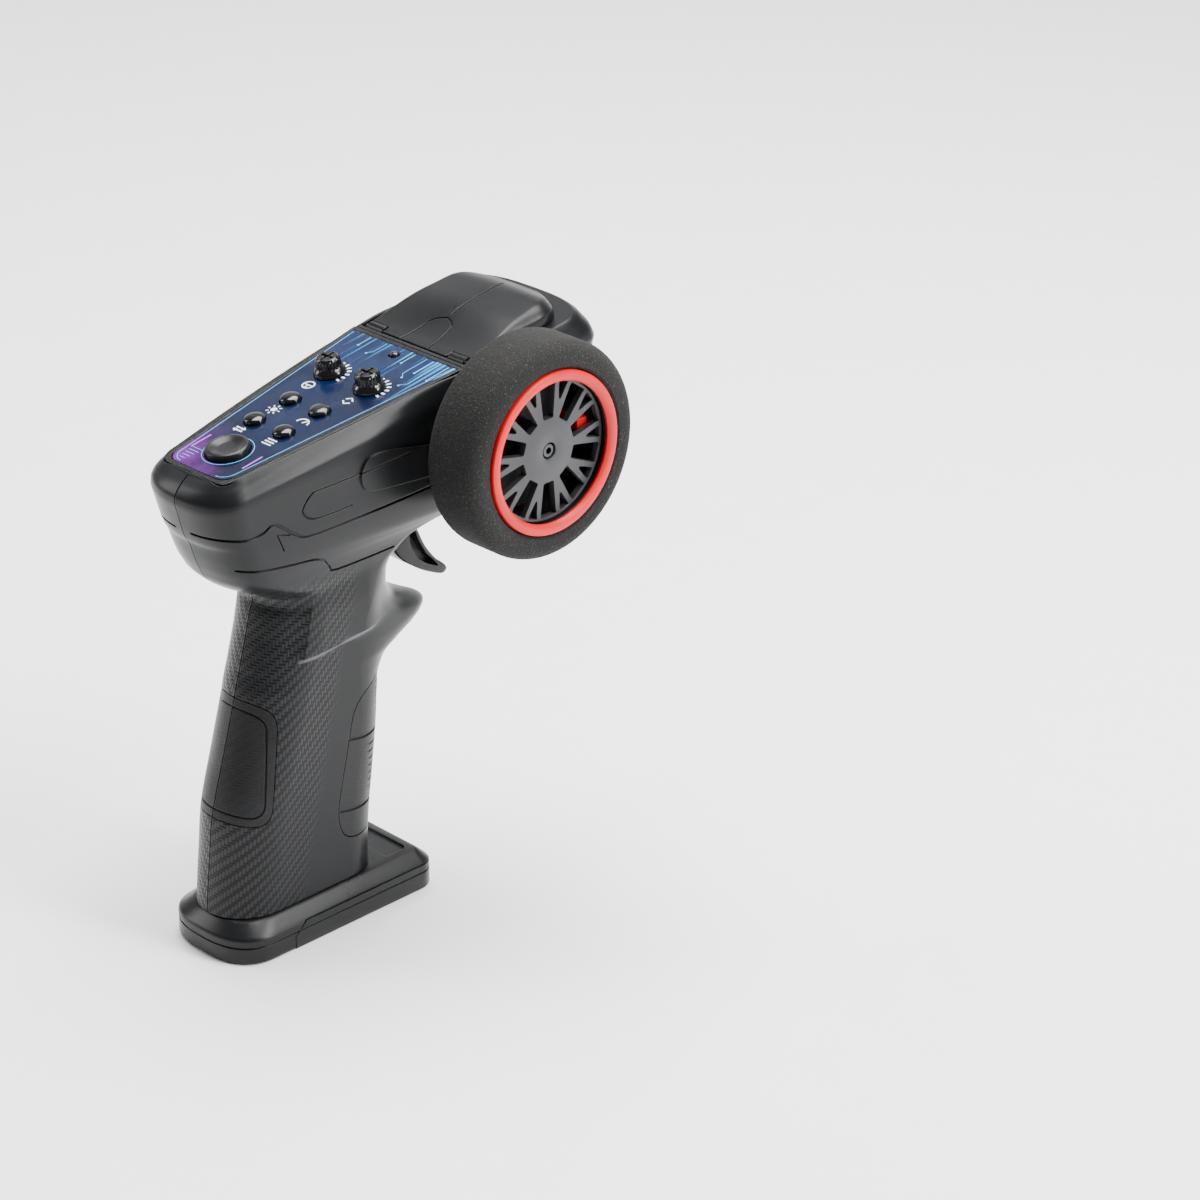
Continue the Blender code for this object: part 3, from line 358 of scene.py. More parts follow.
def moulded(name, colour, roughness, grain=0.5, edge=0.0002, specular=0.35):
    """Moulded plastic: fine spark texture, slow tone changes and faint handling marks."""
    look = Look(name, colour, roughness, specular=specular)
    look.soft_edges(edge)
    slow = look.noise(38.0, 4.0, 0.55)
    rubbed = look.ramp(look.noise(140.0, 5.0, 0.62, distortion=0.4), 0.52, 0.74)
    look.paint(look.mix(rubbed * 0.1, look.tones(slow, colour, 0.86, 1.14), scaled(colour, 1.5)))
    look.shine(look.ramp(slow, 0.25, 0.75, roughness - 0.04, roughness + 0.05) - rubbed * 0.02)
    look.grain(grain * 0.35)
    return look.mat


def glossy(name, colour, roughness=0.16, edge=0.0002):
    """Polished plastic with a faint smear."""
    look = Look(name, colour, roughness, coat=0.12, specular=0.4)
    if edge:
        look.soft_edges(edge)
    smear = look.noise(75.0, 5.0, 0.6, distortion=0.8)
    look.paint(look.tones(smear, colour, 0.9, 1.12))
    look.shine(look.ramp(smear, 0.35, 0.7, roughness * 0.75, roughness * 1.5))
    look.bump(look.noise(1600.0, 2.0), 0.05, 0.00004)
    return look.mat


def metal(name, colour, roughness):
    look = Look(name, colour, roughness, metallic=1.0)
    streak = look.noise(2600.0, 3.0, 0.6)
    look.paint(look.tones(look.noise(160.0, 4.0), colour, 0.82, 1.0, 0.35))
    look.shine(look.ramp(streak, 0.3, 0.7, roughness - 0.06, roughness + 0.12))
    look.bump(streak, 0.12, 0.00004)
    return look.mat


# Noise, tones, gloss and relief
INK = (2200.0, 3.0), (0.82, 1.0, 0.35, 0.65), (0.26, 0.4), (0.1, 0.00002)
SLEEVE = (700.0, 4.0), (0.75, 1.2, 0.35, 0.7), (0.34, 0.5), (0.15, 0.00005)


def speckled(name, colour, kind):
    """Printed ink or a plain sleeve."""
    noise, tones, gloss, relief = kind
    look = Look(name, colour, gloss[0])
    speck = look.noise(*noise)
    look.paint(look.tones(speck, colour, *tones))
    look.shine(look.ramp(speck, 0.3, 0.7, *gloss))
    look.bump(speck, *relief)
    return look.mat


THREAD = 0.00085
GRIP_RADIUS = 0.014
REAR_LEAN, REAR_Y = 0.232, 0.0362
SKIRT_Z, SKIRT_LEAN = 84.9, 0.08


def grip_coordinates(look):
    """(distance round the grip, height, distance forwards of the rear line, y), all in metres."""
    x, y, z = look.axes()
    forward = y - (z * REAR_LEAN - REAR_Y)
    past = forward - GRIP_RADIUS
    behind = look.math("MINIMUM", past, 0.0) * -1.0
    turn = look.math("ARCTAN2", look.math("ABSOLUTE", x), behind)
    return turn * GRIP_RADIUS + look.math("MAXIMUM", past, 0.0), z, forward, y


def weave(look, u, v):
    """A two-over-two weave: (1 where the upright thread is on top, height of the thread on top)."""
    u, v = u / THREAD, v / THREAD
    step = look.math("FLOOR", u) - look.math("FLOOR", v)
    upright = look.math("LESS_THAN", look.math("FLOORED_MODULO", step, 4.0), 2.0)
    across, along = (look.math("SINE", look.math("FRACT", c) * math.pi) for c in (u, v))
    return upright, along + (across - along) * upright


def casing_look():
    """Satin black casing whose grip carries a woven carbon pattern round its rear, with a painted highlight
    along the skirt's lower bevel.
    """
    base = (0.0062, 0.0065, 0.0072)
    look = Look("casing_plastic", base, 0.33, specular=0.18)
    look.soft_edges(0.00035)
    slow = look.noise(30.0, 4.0, 0.55)
    rubbed = look.ramp(look.noise(120.0, 5.0, 0.62, distortion=0.4), 0.52, 0.76)
    tone = look.mix(rubbed * 0.08, look.tones(slow, base, 0.88, 1.12), scaled(base, 1.4))
    u, v, forward, y = grip_coordinates(look)
    upright, height = weave(look, u, v)
    strength = look.ramp(forward, 0.0205, 0.0255, 1.0, 0.0) * look.ramp(v, 0.104, 0.113, 1.0, 0.0)
    threads = look.mix(upright, scaled(base, 0.5), scaled(base, 2.6))
    threads = look.mix(look.ramp(height, 0.1, 0.7), scaled(base, 0.45), threads)
    tone = look.mix(strength * 0.85, tone, threads)
    # Painted highlight: a pale strip on the bevelled lower edge of the skirt that stands in for the floor's
    # reflection on it, fading out towards its rear and front ends.
    low = v - SKIRT_Z * MM - y * SKIRT_LEAN
    edge = look.ramp(low, 0.0, 0.0004) * look.ramp(low, 0.0014, 0.0018, 1.0, 0.0)
    ends = look.ramp(y, -0.009, -0.008) * look.ramp(y, 0.016, 0.021, 1.0, 0.0)
    look.paint(look.mix(edge * ends, tone, (0.075, 0.074, 0.082)))
    plain = look.ramp(slow, 0.25, 0.75, 0.27, 0.35)
    look.shine(plain + (upright * -0.12 + 0.4 - plain) * strength)
    look.bump(height * strength, 0.5, 0.00012)
    look.grain(0.16)
    return look.mat


def rubber_look():
    """Soft rubber with a faint weave."""
    base = (0.0058, 0.006, 0.0066)
    look = Look("soft_touch_rubber", base, 0.42, specular=0.2)
    look.soft_edges(0.0003)
    upright, height = weave(look, *grip_coordinates(look)[:2])
    slow = look.noise(45.0, 4.0)
    look.paint(look.mix(upright * 0.3, look.tones(slow, base, 0.85, 1.15), scaled(base, 1.5)))
    look.shine(look.ramp(slow, 0.3, 0.7, 0.37, 0.46))
    look.bump(height, 0.22, 0.0001)
    look.bump(look.noise(6000.0, 2.0), 0.15, 0.00004)
    return look.mat


def foam_look():
    """Open-cell foam: dense pores with a few pale flecks."""
    base = (0.0125, 0.0121, 0.0115)
    look = Look("foam_rubber", base, 0.93, specular=0.25)
    grain = look.noise(1900.0, 4.0, 0.7)
    tone = look.tones(look.noise(24.0, 3.0), base, 0.8, 1.35)
    tone = look.mix(look.ramp(grain, 0.38, 0.62), scaled(base, 0.55), tone)
    fleck = look.ramp(look.noise(2600.0, 1.0), 0.66, 0.72)
    look.paint(look.mix(fleck * 0.7, tone, (0.075, 0.072, 0.068)))
    look.shine(look.ramp(grain, 0.3, 0.7, 0.85, 0.97))
    look.bump(look.cells(1500.0), 0.7, 0.00025)
    look.bump(look.cells(3600.0), 0.5, 0.0001)
    look.bump(grain, 0.35, 0.00012)
    return look.mat


def print_look():
    """The panel's film: deep blue, brighter in front, violet at the rear, with thin light streaks."""
    look = Look("panel_film", (0.012, 0.03, 0.12), 0.2, coat=0.06, specular=0.25)
    look.soft_edges(0.00015)
    x, y, z = look.axes()
    s = (y + 0.0311) * 0.98388 + (z - 0.1438) * 0.1788
    plane = look.node("CombineXYZ", {0: x, 1: s})
    haze = look.noise(42.0, 4.0, 0.6, vector=plane, distortion=0.6)
    base = look.mix(look.ramp(haze, 0.3, 0.72), (0.001, 0.003, 0.015), (0.0024, 0.009, 0.04))
    glow = look.ramp(s, 0.05, 0.078) * look.ramp(look.noise(60.0, 3.0, vector=plane), 0.32, 0.7)
    base = look.mix(glow, base, (0.003, 0.02, 0.085))
    rear = look.ramp(s + x * 0.9, 0.016, -0.004)
    base = look.mix(rear * look.ramp(haze, 0.25, 0.62), base, (0.1, 0.008, 0.16))
    tall = look.noise(620.0, 2.0, vector=look.stretched(plane, (1.0, 0.03, 1.0)))
    side = look.ramp(x, -0.022, 0.012, 0.25, 1.0) * look.ramp(s, 0.046, 0.076)
    streak = look.ramp(tall, 0.55, 0.72) * side
    base = look.mix(streak * 0.85, base, (0.03, 0.3, 0.62))
    dots = look.ramp(look.cells(900.0, vector=plane), 0.14, 0.07) * look.ramp(haze, 0.45, 0.65)
    look.paint(look.mix(dots * 0.3, base, (0.02, 0.12, 0.3)))
    look.shine(look.ramp(look.noise(90.0, 4.0), 0.3, 0.7, 0.15, 0.28))
    look.bump(look.noise(2400.0, 2.0), 0.06, 0.00003)
    return look.mat


def board_look():
    look = Look("solder_mask", (0.01, 0.09, 0.035), 0.35)
    tracks = look.math("GREATER_THAN", look.cells(420.0, "DISTANCE_TO_EDGE", randomness=0.6), 0.09)
    look.paint(look.mix(tracks, (0.03, 0.2, 0.08), (0.008, 0.085, 0.03)))
    look.shine(look.ramp(look.noise(300.0), 0.3, 0.7, 0.25, 0.42))
    look.bump(tracks, 0.3, 0.00003)
    return look.mat


CASING = casing_look()
SATIN = moulded("satin_black", (0.006, 0.0062, 0.0068), 0.3, edge=0.0003, specular=0.22)
LID = moulded("lid_plastic", (0.0055, 0.0057, 0.0062), 0.3, grain=0.35, edge=0.0004, specular=0.17)
GLOSS = glossy("gloss_black", (0.004, 0.004, 0.0045))
BARREL = moulded("rim_black", (0.003, 0.003, 0.0032), 0.42)
RUBBER = rubber_look()
FOAM = foam_look()
FILM = print_look()
RED = moulded("satin_red", (0.5, 0.003, 0.006), 0.36, grain=0.2, specular=0.25)
GREY = moulded("spoke_grey", (0.03, 0.0305, 0.033), 0.36, grain=0.4, edge=0.00025, specular=0.3)
STEEL = metal("plated_steel", (0.52, 0.52, 0.54), 0.3)
DARK_STEEL = metal("black_screw", (0.07, 0.07, 0.075), 0.35)
NICKEL = metal("nickel", (0.72, 0.7, 0.64), 0.22)
BOARD = board_look()
SWITCH = speckled("switch_black", (0.03, 0.03, 0.032), SLEEVE)
POT = speckled("pot_blue", (0.03, 0.04, 0.14), SLEEVE)
WRAP = speckled("cell_wrap", (0.03, 0.07, 0.22), SLEEVE)
LEAD = speckled("lead_black", (0.012, 0.012, 0.013), SLEEVE)
AERIAL = speckled("aerial_grey", (0.25, 0.25, 0.26), SLEEVE)
LENS = glossy("lamp_lens", (0.012, 0.012, 0.016), 0.08, edge=0)
WHITE_INK = speckled("white_ink", (0.75, 0.78, 0.82), INK)
CYAN_INK = speckled("cyan_ink", (0.1, 0.42, 0.75), INK)
VIOLET_INK = speckled("violet_ink", (0.45, 0.06, 0.5), INK)

# ---------------------------------------------------------------- panel plane and body outline

SLOPE = math.radians(10.3)
CREASE_DIP = 0.02
CEILING_T = -5.2
WALL, PAD_DEPTH = 2.0, 1.7
PANEL_LENGTH, PANEL_REAR_HALF, PANEL_FRONT_HALF = 78.2, 13.6, 22.3
PANEL_REAR, PANEL_CORNER = 0.3, 4.0
LID_PIN = (81.9, -1.4)
LID_REAR, LID_FRONT, LID_HALF, LID_CORNER = 80.3, 120.0, 20.9, 11.0
SEAM = 0.15
PAST_MIDDLE, OUTSIDE = -4.0, 40.0


def panel_frame():
    along = Vector((0.0, math.cos(SLOPE), math.sin(SLOPE)))
    normal = Vector((0.0, -math.sin(SLOPE), math.cos(SLOPE)))
    turn = Matrix(((1, 0, 0), (0, along.y, normal.y), (0, along.z, normal.z))).to_4x4()
    return Matrix.Translation((0.0, -31.1, 143.8)) @ turn


PANEL = panel_frame()


def on_panel(x, s, t):
    return PANEL @ Vector((x, s, t))


def ease(value, start, end):
    f = min(max((value - start) / (end - start), 0.0), 1.0)
    return f * f * (3 - 2 * f)


def deck_drop(s, t):
    return 3.3 * ease(s, 84.0, 114.0) * (1.0 - ease(-t, 6.0, 20.0))


def panel_point(s, t):
    p = on_panel(0.0, s, t - deck_drop(s, t))
    return (p.y, p.z)


class Station:
    """One slice of the body, from its rear point to its front point in the middle plane."""

    def __init__(self, rear, front, widths, caps, powers=(2.0, 2.0), flare=1.0, head=None):
        self.rear, self.front = Vector(rear), Vector(front)
        self.widths, self.caps, self.powers, self.flare, self.head = widths, caps, powers, flare, head
        self.length = head[2] - head[1] if head else (self.front - self.rear).length

    def place(self, d):
        if self.head:
            t, rear_s, _, dip = self.head
            s = rear_s + d
            return Vector(panel_point(s, t - dip * max(s, 0.0)))
        return self.rear + (self.front - self.rear) * (d / self.length)


def head_station(t, rear_s, front_s, widths, caps, powers, dip=0.0):
    ends = (panel_point(rear_s, t), panel_point(front_s, t))
    return Station(*ends, widths, caps, powers, 2.0, (t, rear_s, front_s, dip))


LOW = [Station(*row) for row in (
    ((-33.6, 11.8), (21.0, 11.8), (13.7, 13.4), (14.0, 13.0)),
    ((-33.0, 18.0), (21.2, 18.0), (13.8, 13.4), (14.0, 13.0)),
    ((-31.9, 26.9), (21.9, 26.9), (13.9, 13.5), (14.0, 13.0)),
    ((-30.1, 40.5), (23.6, 40.5), (14.1, 13.7), (14.0, 13.0)),
    ((-25.9, 55.0), (25.4, 55.0), (14.3, 13.9), (14.0, 13.0)),
    ((-22.6, 66.0), (26.2, 65.5), (14.4, 14.0), (14.0, 13.0)),
    ((-20.6, 73.0), (27.8, 72.0), (14.4, 14.1), (14.0, 15.0)),
    ((-19.8, 76.0), (33.0, 76.0), (14.5, 14.1), (14.0, 20.0), (2.0, 1.8)),
    ((-19.0, 78.5), (40.0, 78.3), (14.5, 14.1), (14.0, 26.0), (2.0, 1.7)),
    ((-18.2, 81.0), (47.2, 80.6), (14.5, 14.1), (14.0, 33.0), (2.0, 1.6)),
    ((-17.8, 82.5), (48.3, 82.0), (14.5, 14.1), (14.0, 34.0), (2.0, 1.6)),
    ((-17.2, 84.5), (46.5, 84.0), (14.5, 14.1), (14.0, 32.0), (2.0, 1.6)),
    ((-16.2, 88.0), (40.0, 87.6), (14.5, 14.2), (14.0, 26.0), (2.0, 1.7)),
    ((-15.3, 91.0), (34.2, 91.0), (14.6, 14.3), (14.0, 20.0), (2.0, 1.9)),
    ((-14.4, 94.5), (31.0, 94.5), (14.6, 14.4), (13.5, 15.0)),
    ((-13.4, 98.0), (30.0, 98.5), (14.7, 14.5), (13.0, 12.0)),
    ((-12.4, 101.0), (30.2, 103.3), (14.8, 14.7), (12.5, 11.0)),
    ((-13.4, 103.4), (31.6, 106.0), (15.0, 15.0), (12.5, 11.0)),
    ((-19.5, 106.6), (34.0, 108.3), (16.2, 15.4), (13.0, 10.0)),
    ((-24.5, 109.2), (38.5, 111.6), (16.8, 16.2), (13.0, 10.0)),
    ((-27.5, 111.8), (46.0, 114.0), (17.0, 17.4), (12.0, 10.0), (2.2, 2.2)),
    ((-29.5, 115.2), (58.0, 116.0), (17.2, 19.2), (11.0, 10.0), (2.3, 2.4), 1.4),
    ((-31.1, 119.2), (74.0, 118.8), (17.3, 21.6), (10.5, 10.0), (2.3, 2.6), 1.7),
    ((-32.5, 123.6), (87.0, 127.0), (17.4, 23.6), (10.0, 10.0), (2.3, 2.7), 1.9),
)]
HIGH = [head_station(*row) for row in (
    (-14.6, -6.3, 127.5, (17.4, 24.8), (10.0, 10.0), (2.3, 2.7), CREASE_DIP),
    (-6.2, -6.9, 130.0, (18.0, 25.4), (10.0, 10.0), (2.3, 2.7), CREASE_DIP),
    (-4.2, -6.3, 129.4, (17.6, 25.0), (9.8, 10.0), (2.3, 2.7), CREASE_DIP * 0.6),
    (-2.2, -4.4, 128.0, (16.3, 24.2), (9.0, 10.0), (2.4, 2.7), CREASE_DIP * 0.3),
    (-0.6, -1.6, 126.4, (14.8, 23.4), (7.6, 10.0), (2.6, 2.7)),
    (0.0, -0.5, 125.6, (14.4, 22.9), (7.2, 10.0), (2.8, 2.7)),
)]
CREASE_INDEX = len(LOW) + 1


def outline(station, inset, caps=9, sides=72):
    """(distance, half-width) from the rear point to the front point."""
    length = station.length - 2 * inset
    w_rear, w_front = (w - inset for w in station.widths)
    c_rear, c_front = (max(c - inset, 2.0) for c in station.caps)
    p_rear, p_front = station.powers
    turns = [QUARTER * k / caps for k in range(caps + 1)]
    pairs = [(c_rear * (1 - math.cos(a) ** (2 / p_rear)), w_rear * math.sin(a) ** (2 / p_rear))
             for a in turns]
    for k in range(1, sides):
        f = k / sides
        grow = 1 - (1 - f) ** station.flare
        pairs.append((c_rear + (length - c_rear - c_front) * f, w_rear + (w_front - w_rear) * grow))
    for a in turns[::-1]:
        cap = c_front * (1 - math.cos(a) ** (2 / p_front))
        pairs.append((length - cap, w_front * math.sin(a) ** (2 / p_front)))
    return pairs


def slice_of(station, inset):
    rows = []
    for d, across in outline(station, inset):
        y, z = station.place(d + inset)
        rows.append((across, y, z))
    return np.array(rows)


def spline_rows(rows, steps_of):
    """Smooth slices between the given ones, which they pass through."""
    rows = [np.array(r) for r in rows]
    gaps = [max(float(np.mean(np.linalg.norm(b - a, axis=1))), 1e-6) for a, b in zip(rows, rows[1:])]
    slopes = []
    for k in range(len(rows)):
        if k == 0:
            slopes.append((rows[1] - rows[0]) / gaps[0])
        elif k == len(rows) - 1:
            slopes.append((rows[-1] - rows[-2]) / gaps[-1])
        else:
            a, b = gaps[k - 1], gaps[k]
            slopes.append(((rows[k + 1] - rows[k]) / b * a + (rows[k] - rows[k - 1]) / a * b) / (a + b))
    out = []
    for k, gap in enumerate(gaps):
        for i in range(steps_of(gap)):
            f = i / steps_of(gap)
            h0, h1 = 2 * f ** 3 - 3 * f ** 2 + 1, f ** 3 - 2 * f ** 2 + f
            h2, h3 = -2 * f ** 3 + 3 * f ** 2, f ** 3 - f ** 2
            out.append(rows[k] * h0 + slopes[k] * gap * h1 + rows[k + 1] * h2 + slopes[k + 1] * gap * h3)
    return out + [rows[-1]]


def skirt(y, z):
    """How far the head's skirt stands proud on each side of the neck, down to its bevelled lower edge."""
    left = ease(y, -9.0 + (z - 86.0) * 0.18, -7.8 + (z - 86.0) * 0.18)
    floor = ease(z, SKIRT_Z + SKIRT_LEAN * y, SKIRT_Z + 1.7 + SKIRT_LEAN * y)
    roof = 1.0 - ease(z, 97.0, 110.0)
    front = 1.0 - ease(y, 15.0, 23.0)
    return 1.5 * left * floor * roof * front


def skin_rows(inset):
    rows = [slice_of(s, inset) for s in LOW + HIGH]
    low = spline_rows(rows[:CREASE_INDEX + 1],
                      lambda gap: max(1, min(10, round(gap / (0.5 if gap < 3.6 else 1.4)))))
    high = spline_rows(rows[CREASE_INDEX:], lambda gap: max(2, round(gap / 0.6)))
    out = low + high[1:]
    for row in out:
        for p in row:
            p[0] += skirt(p[1], p[2]) * min(1.0, max(p[0] - 6.0, 0.0) / 4.0)
    return out


def closed_half(rows, sign, middle):
    """A closed skin through slices: the casing's side of x = sign * middle, flat in the middle plane."""
    rings = []
    for row in rows:
        skin = [(sign * max(x, middle), y, z) for x, y, z in row[1:-1]]
        inside = [(sign * middle, y, z) for _, y, z in row]
        rings.append([inside[0], *skin, inside[-1], *inside[-2:0:-1]])
    points, faces = loft(rings, close=False)
    count = len(rings[0])
    for base in (0, (len(rings) - 1) * count):
        for i in range(count // 2):
            corners = [i, i + 1, (count - i - 1) % count, (count - i) % count]
            faces.append([base + c for c in dict.fromkeys(corners)])
    return points, faces


def half_body(sign, inset, middle, extend=False):
    """One half of the body drawn in by inset."""
    rows = skin_rows(inset)
    if extend:
        foot = rows[0].copy()
        foot[:, 2] -= 2.0
        rows = [foot] + rows
    return closed_half(rows, sign, middle)


def core(sign, inset):
    """The body's half drawn in by inset, longer past the foot and through the middle plane."""
    return half_body(sign, inset, PAST_MIDDLE, extend=True)


def cavity(sign):
    """The hollow inside a casing, up to the underside of the head's top wall."""
    below = Station((-33.6, 10.0), (21.0, 10.0), (13.7, 13.4), (14.0, 13.0))
    top = head_station(CEILING_T, -6.6, 129.6, (17.8, 25.2), (9.9, 10.0), (2.3, 2.7), CREASE_DIP * 0.8)
    rows = [slice_of(s, WALL + PAD_DEPTH) for s in [below, *LOW, *HIGH[:2], top]]
    return closed_half(rows, sign, PAST_MIDDLE)


def window(outline_yz, sign, low=-1.0, high=OUTSIDE):
    return prism(outline_yz, *sorted((sign * low, sign * high)), axis="X")


def pad_outline(corners, spread):
    rounded = softened_ring(corners, 6.0, 8)
    middle = middle_of(rounded)
    away = [Vector(p) - middle for p in rounded]
    return [tuple(middle + a * (1 + spread / a.length)) for a in away]


PALM = [(-45.0, 80.0), (-14.6, 72.6), (-20.4, 38.2), (-45.0, 43.5)]
FINGERS = [(50.0, 78.0), (31.0, 76.0), (10.5, 66.6), (2.8, 33.0), (5.6, 24.0), (40.0, 23.0)]
SLOT = [(27.4, 97.0), (40.0, 97.0), (60.0, 104.0), (60.0, 122.0), (36.0, 128.0), (27.4, 116.0)]
SCREWS = ((-21.0, 125.0), (84.0, 138.0), (-8.0, 84.0), (-23.6, 30.0), (20.0, 82.0))
WHEEL = (53.1, 139.1)
TRIGGER = (44.0, 124.0)
FOOT_SCREW_X = 11.6

# Styling lines of the casing, as (y, z) seen from the side
WAIST_LINE = [(-40.0, 127.4), (-33.0, 128.6), (-26.8, 128.3), (-22.2, 128.9), (-19.6, 130.4), (-17.3, 130.0),
              (-11.6, 125.7), (-7.0, 124.1), (4.8, 124.7), (30.0, 126.8), (60.0, 130.2), (84.0, 133.0)]
RAISED_PAD = [(34.0, 139.4), (17.0, 142.6), (11.0, 142.2), (8.9, 138.6), (8.9, 135.2), (10.4, 132.2),
              (14.0, 131.4), (34.0, 130.4), (62.0, 132.6), (62.0, 141.0)]
LOW_PANEL = [(25.2, 139.6), (4.0, 137.4), (-3.4, 136.9), (-6.9, 136.2), (-9.6, 132.2), (-7.6, 129.4),
             (-3.4, 128.6), (6.4, 129.3)]
BROW = [(-28.0, 118.6), (-14.0, 117.0), (-3.4, 115.6), (0.6, 111.9), (4.0, 109.9), (25.1, 109.6)]
SHORT_LINE = [(-13.6, 126.2), (-17.6, 127.2), (-15.4, 121.8)]


def style_bands():
    return [band(curve_through(WAIST_LINE, 8), 0.75), band(curve_through(LOW_PANEL), 0.45),
            band(curve_through(BROW), 0.6), band(SHORT_LINE, 0.4)]


def bored_pillars(casing, sign):
    """Screw pillars, sunk from outside on the left, and the bearings of the trigger's pin."""
    bearing, depth, pin = (7.2, 8.2, 15.8) if sign > 0 else (13.4, 8.7, 17.2)
    pillars = [x_rod(3.6, sign * 0.25, sign * OUTSIDE, place) for place in SCREWS]
    pillars.append(x_rod(4.2, sign * bearing, sign * OUTSIDE, TRIGGER))
    clip = new_object("clip", *closed_half([slice_of(s, 3.0) for s in LOW + HIGH[:3]], sign, PAST_MIDDLE))
    cut(casing, cut(new_object("pillars", *join_shapes(pillars)), clip, "INTERSECT"), "UNION")
    bores = [x_rod(1.5, -sign, sign * depth, place) for place in SCREWS]
    cut(casing, join_shapes([*bores, x_rod(1.75, -sign, sign * pin, TRIGGER)]))
    if sign < 0:
        cut(casing, join_shapes([x_rod(3.1, -OUTSIDE, -8.6, place, 40) for place in SCREWS]))


def make_casing(name, sign):
    casing = new_object(name, *half_body(sign, 0.0, SEAM), look=CASING)
    if sign > 0:
        raised = new_object("raised", *window(softened_ring(RAISED_PAD, 5.0, 8), sign, 3.0))
        cut(casing, cut(raised, half_body(sign, -0.7, SEAM), "INTERSECT"), "UNION")
    pads = [window(pad_outline(corners, 0.0), sign) for corners in (PALM, FINGERS)]
    pockets = new_object("pockets", *join_shapes(pads))
    cut(casing, cut(pockets, core(sign, PAD_DEPTH)))
    grooves = new_object("grooves", *join_shapes([window(b, sign, 3.0) for b in style_bands()]))
    cut(casing, cut(grooves, core(sign, 0.5)))
    cut(casing, cavity(sign))
    bored_pillars(casing, sign)
    for shape in top_cutters(sign) + [window(SLOT, sign, -1.0, 5.7)]:
        cut(casing, shape)
    cut(casing, moved(rod(1.35, 9.0, 15.4, 24), Matrix.Translation((sign * FOOT_SCREW_X, 0, 0))))
    if sign > 0:
        collar = lathe([(5.4, 17.0), (9.5, 17.0), (9.5, 28.1), (9.0, 28.6), (5.4, 28.6)], 96, closed=True)
        cut(casing, moved(collar, along_x(0, *WHEEL)), "UNION")
        cut(casing, x_rod(5.4, 12.0, OUTSIDE, WHEEL, 96))
    return casing


def panel_half_width(s):
    return PANEL_REAR_HALF + (PANEL_FRONT_HALF - PANEL_REAR_HALF) * s / PANEL_LENGTH


def panel_outline(inset, steps=10):
    """The control panel's outline in (x, s), with rounded rear corners."""
    w_rear = panel_half_width(PANEL_REAR) - inset
    w_front = panel_half_width(PANEL_LENGTH) - inset
    low, high, radius = PANEL_REAR + inset, PANEL_LENGTH - inset, PANEL_CORNER
    turns = [QUARTER * k / steps for k in range(1, steps)]
    right = [(w_front, high), (w_front - 0.1, high - 0.8), (w_rear, low + radius)]
    right += [(w_rear - radius * (1 - math.cos(a)), low + radius * (1 - math.sin(a))) for a in turns]
    right.append((w_rear - radius, low))
    return [(-x, s) for x, s in right][::-1] + right


def panel_prism(outline_xs, low, high):
    return moved(prism(outline_xs, low, high), PANEL)


def under_lid(front_s, bottom_t):
    half = LID_HALF + 0.4
    rear = LID_REAR - 0.7
    return panel_prism([(-half, rear), (half, rear), (half, front_s), (-half, front_s)], bottom_t, 3.0)


def lid_axis():
    return along_x(*on_panel(0, *LID_PIN))


def top_cutters(sign):
    """The panel's opening with its ledge, the lid's hinge well and the pin holes."""
    pin = moved(rod(1.0, *sorted((sign * 12.3, sign * 21.6)), 24), lid_axis())
    return [panel_prism(panel_outline(-0.3), -1.9, 3.0),
            panel_prism(panel_outline(1.6), CEILING_T - 1.0, -1.8),
            under_lid(LID_PIN[0] + 2.7, -4.2), under_lid(111.0, -3.1), pin]


def make_pad(name, sign, corners, ribs):
    pad = new_object(name, *half_body(sign, 0.0, SEAM), look=RUBBER)
    cut(pad, window(pad_outline(corners, -0.3), sign, 0.1), "INTERSECT")
    cut(pad, core(sign, PAD_DEPTH - 0.3))
    lines = [window(band(line, width), sign, 0.1) for line, width in ribs]
    tool = new_object("ribs", *join_shapes(lines))
    return cut(pad, cut(tool, core(sign, 0.4)))


def palm_ribs():
    inner = pad_outline(PALM, -3.0)
    return [(inner[4:] + inner[:2], 0.5)]


def finger_ribs():
    ribs = []
    for z in (33.5, 55.0):
        rear = (z - 33) * 0.17
        ribs.append(([(4.0 + rear, z + 0.6), (9.0 + rear, z - 0.4), (40.0, z - 2.6)], 0.9))
    for start, rear, fall, count in ((37.0, 16.0, 1.6, 7), (59.5, 20.0, 1.0, 5)):
        for z in (start + 2.3 * k for k in range(count)):
            ribs.append(([(rear, z), (40.0, z - fall)], 0.5))
    return ribs


# ---------------------------------------------------------------- foot and battery cover

def foot_outline(inset=0.0, steps=24):
    half, rear = 17.7 - inset, 36.6 - inset
    turns = [QUARTER * k / steps for k in range(steps + 1)]
    right = [(half * math.sin(a) ** 0.8, -rear + 13.0 * (1 - math.cos(a) ** 0.8)) for a in turns]
    corner = max(6.0 - inset, 1.5)
    for a in (QUARTER * k / 12 for k in range(13)):
        right.append((half - corner * (1 - math.cos(a)), rear - corner * (1 - math.sin(a))))
    return right + [(-x, y) for x, y in right[:0:-1]]


def foot_rings(levels):
    return loft([[(x, y, z) for x, y in foot_outline(inset)] for inset, z in levels])


COVER_REAR = -17.0
COVER_WINDOW = [(COVER_REAR, -1.0), (60.0, -1.0), (60.0, 8.0), (COVER_REAR + 4.0, 8.0), (COVER_REAR, 4.0)]


def foot_line():
    """The thin groove round the foot."""
    line = new_object("line", *prism(foot_outline(-2.0), 5.2, 5.75))
    return cut(line, foot_rings([(0.35, 0.0), (0.35, 12.0)]))


def cell_box(grow, low, high):
    radius = 8.3 + grow
    front = [polar(0.0, 7.8, radius, math.pi * k / 24) for k in range(25)]
    return prism(front + [(-x, -y) for x, y in front], low, high)


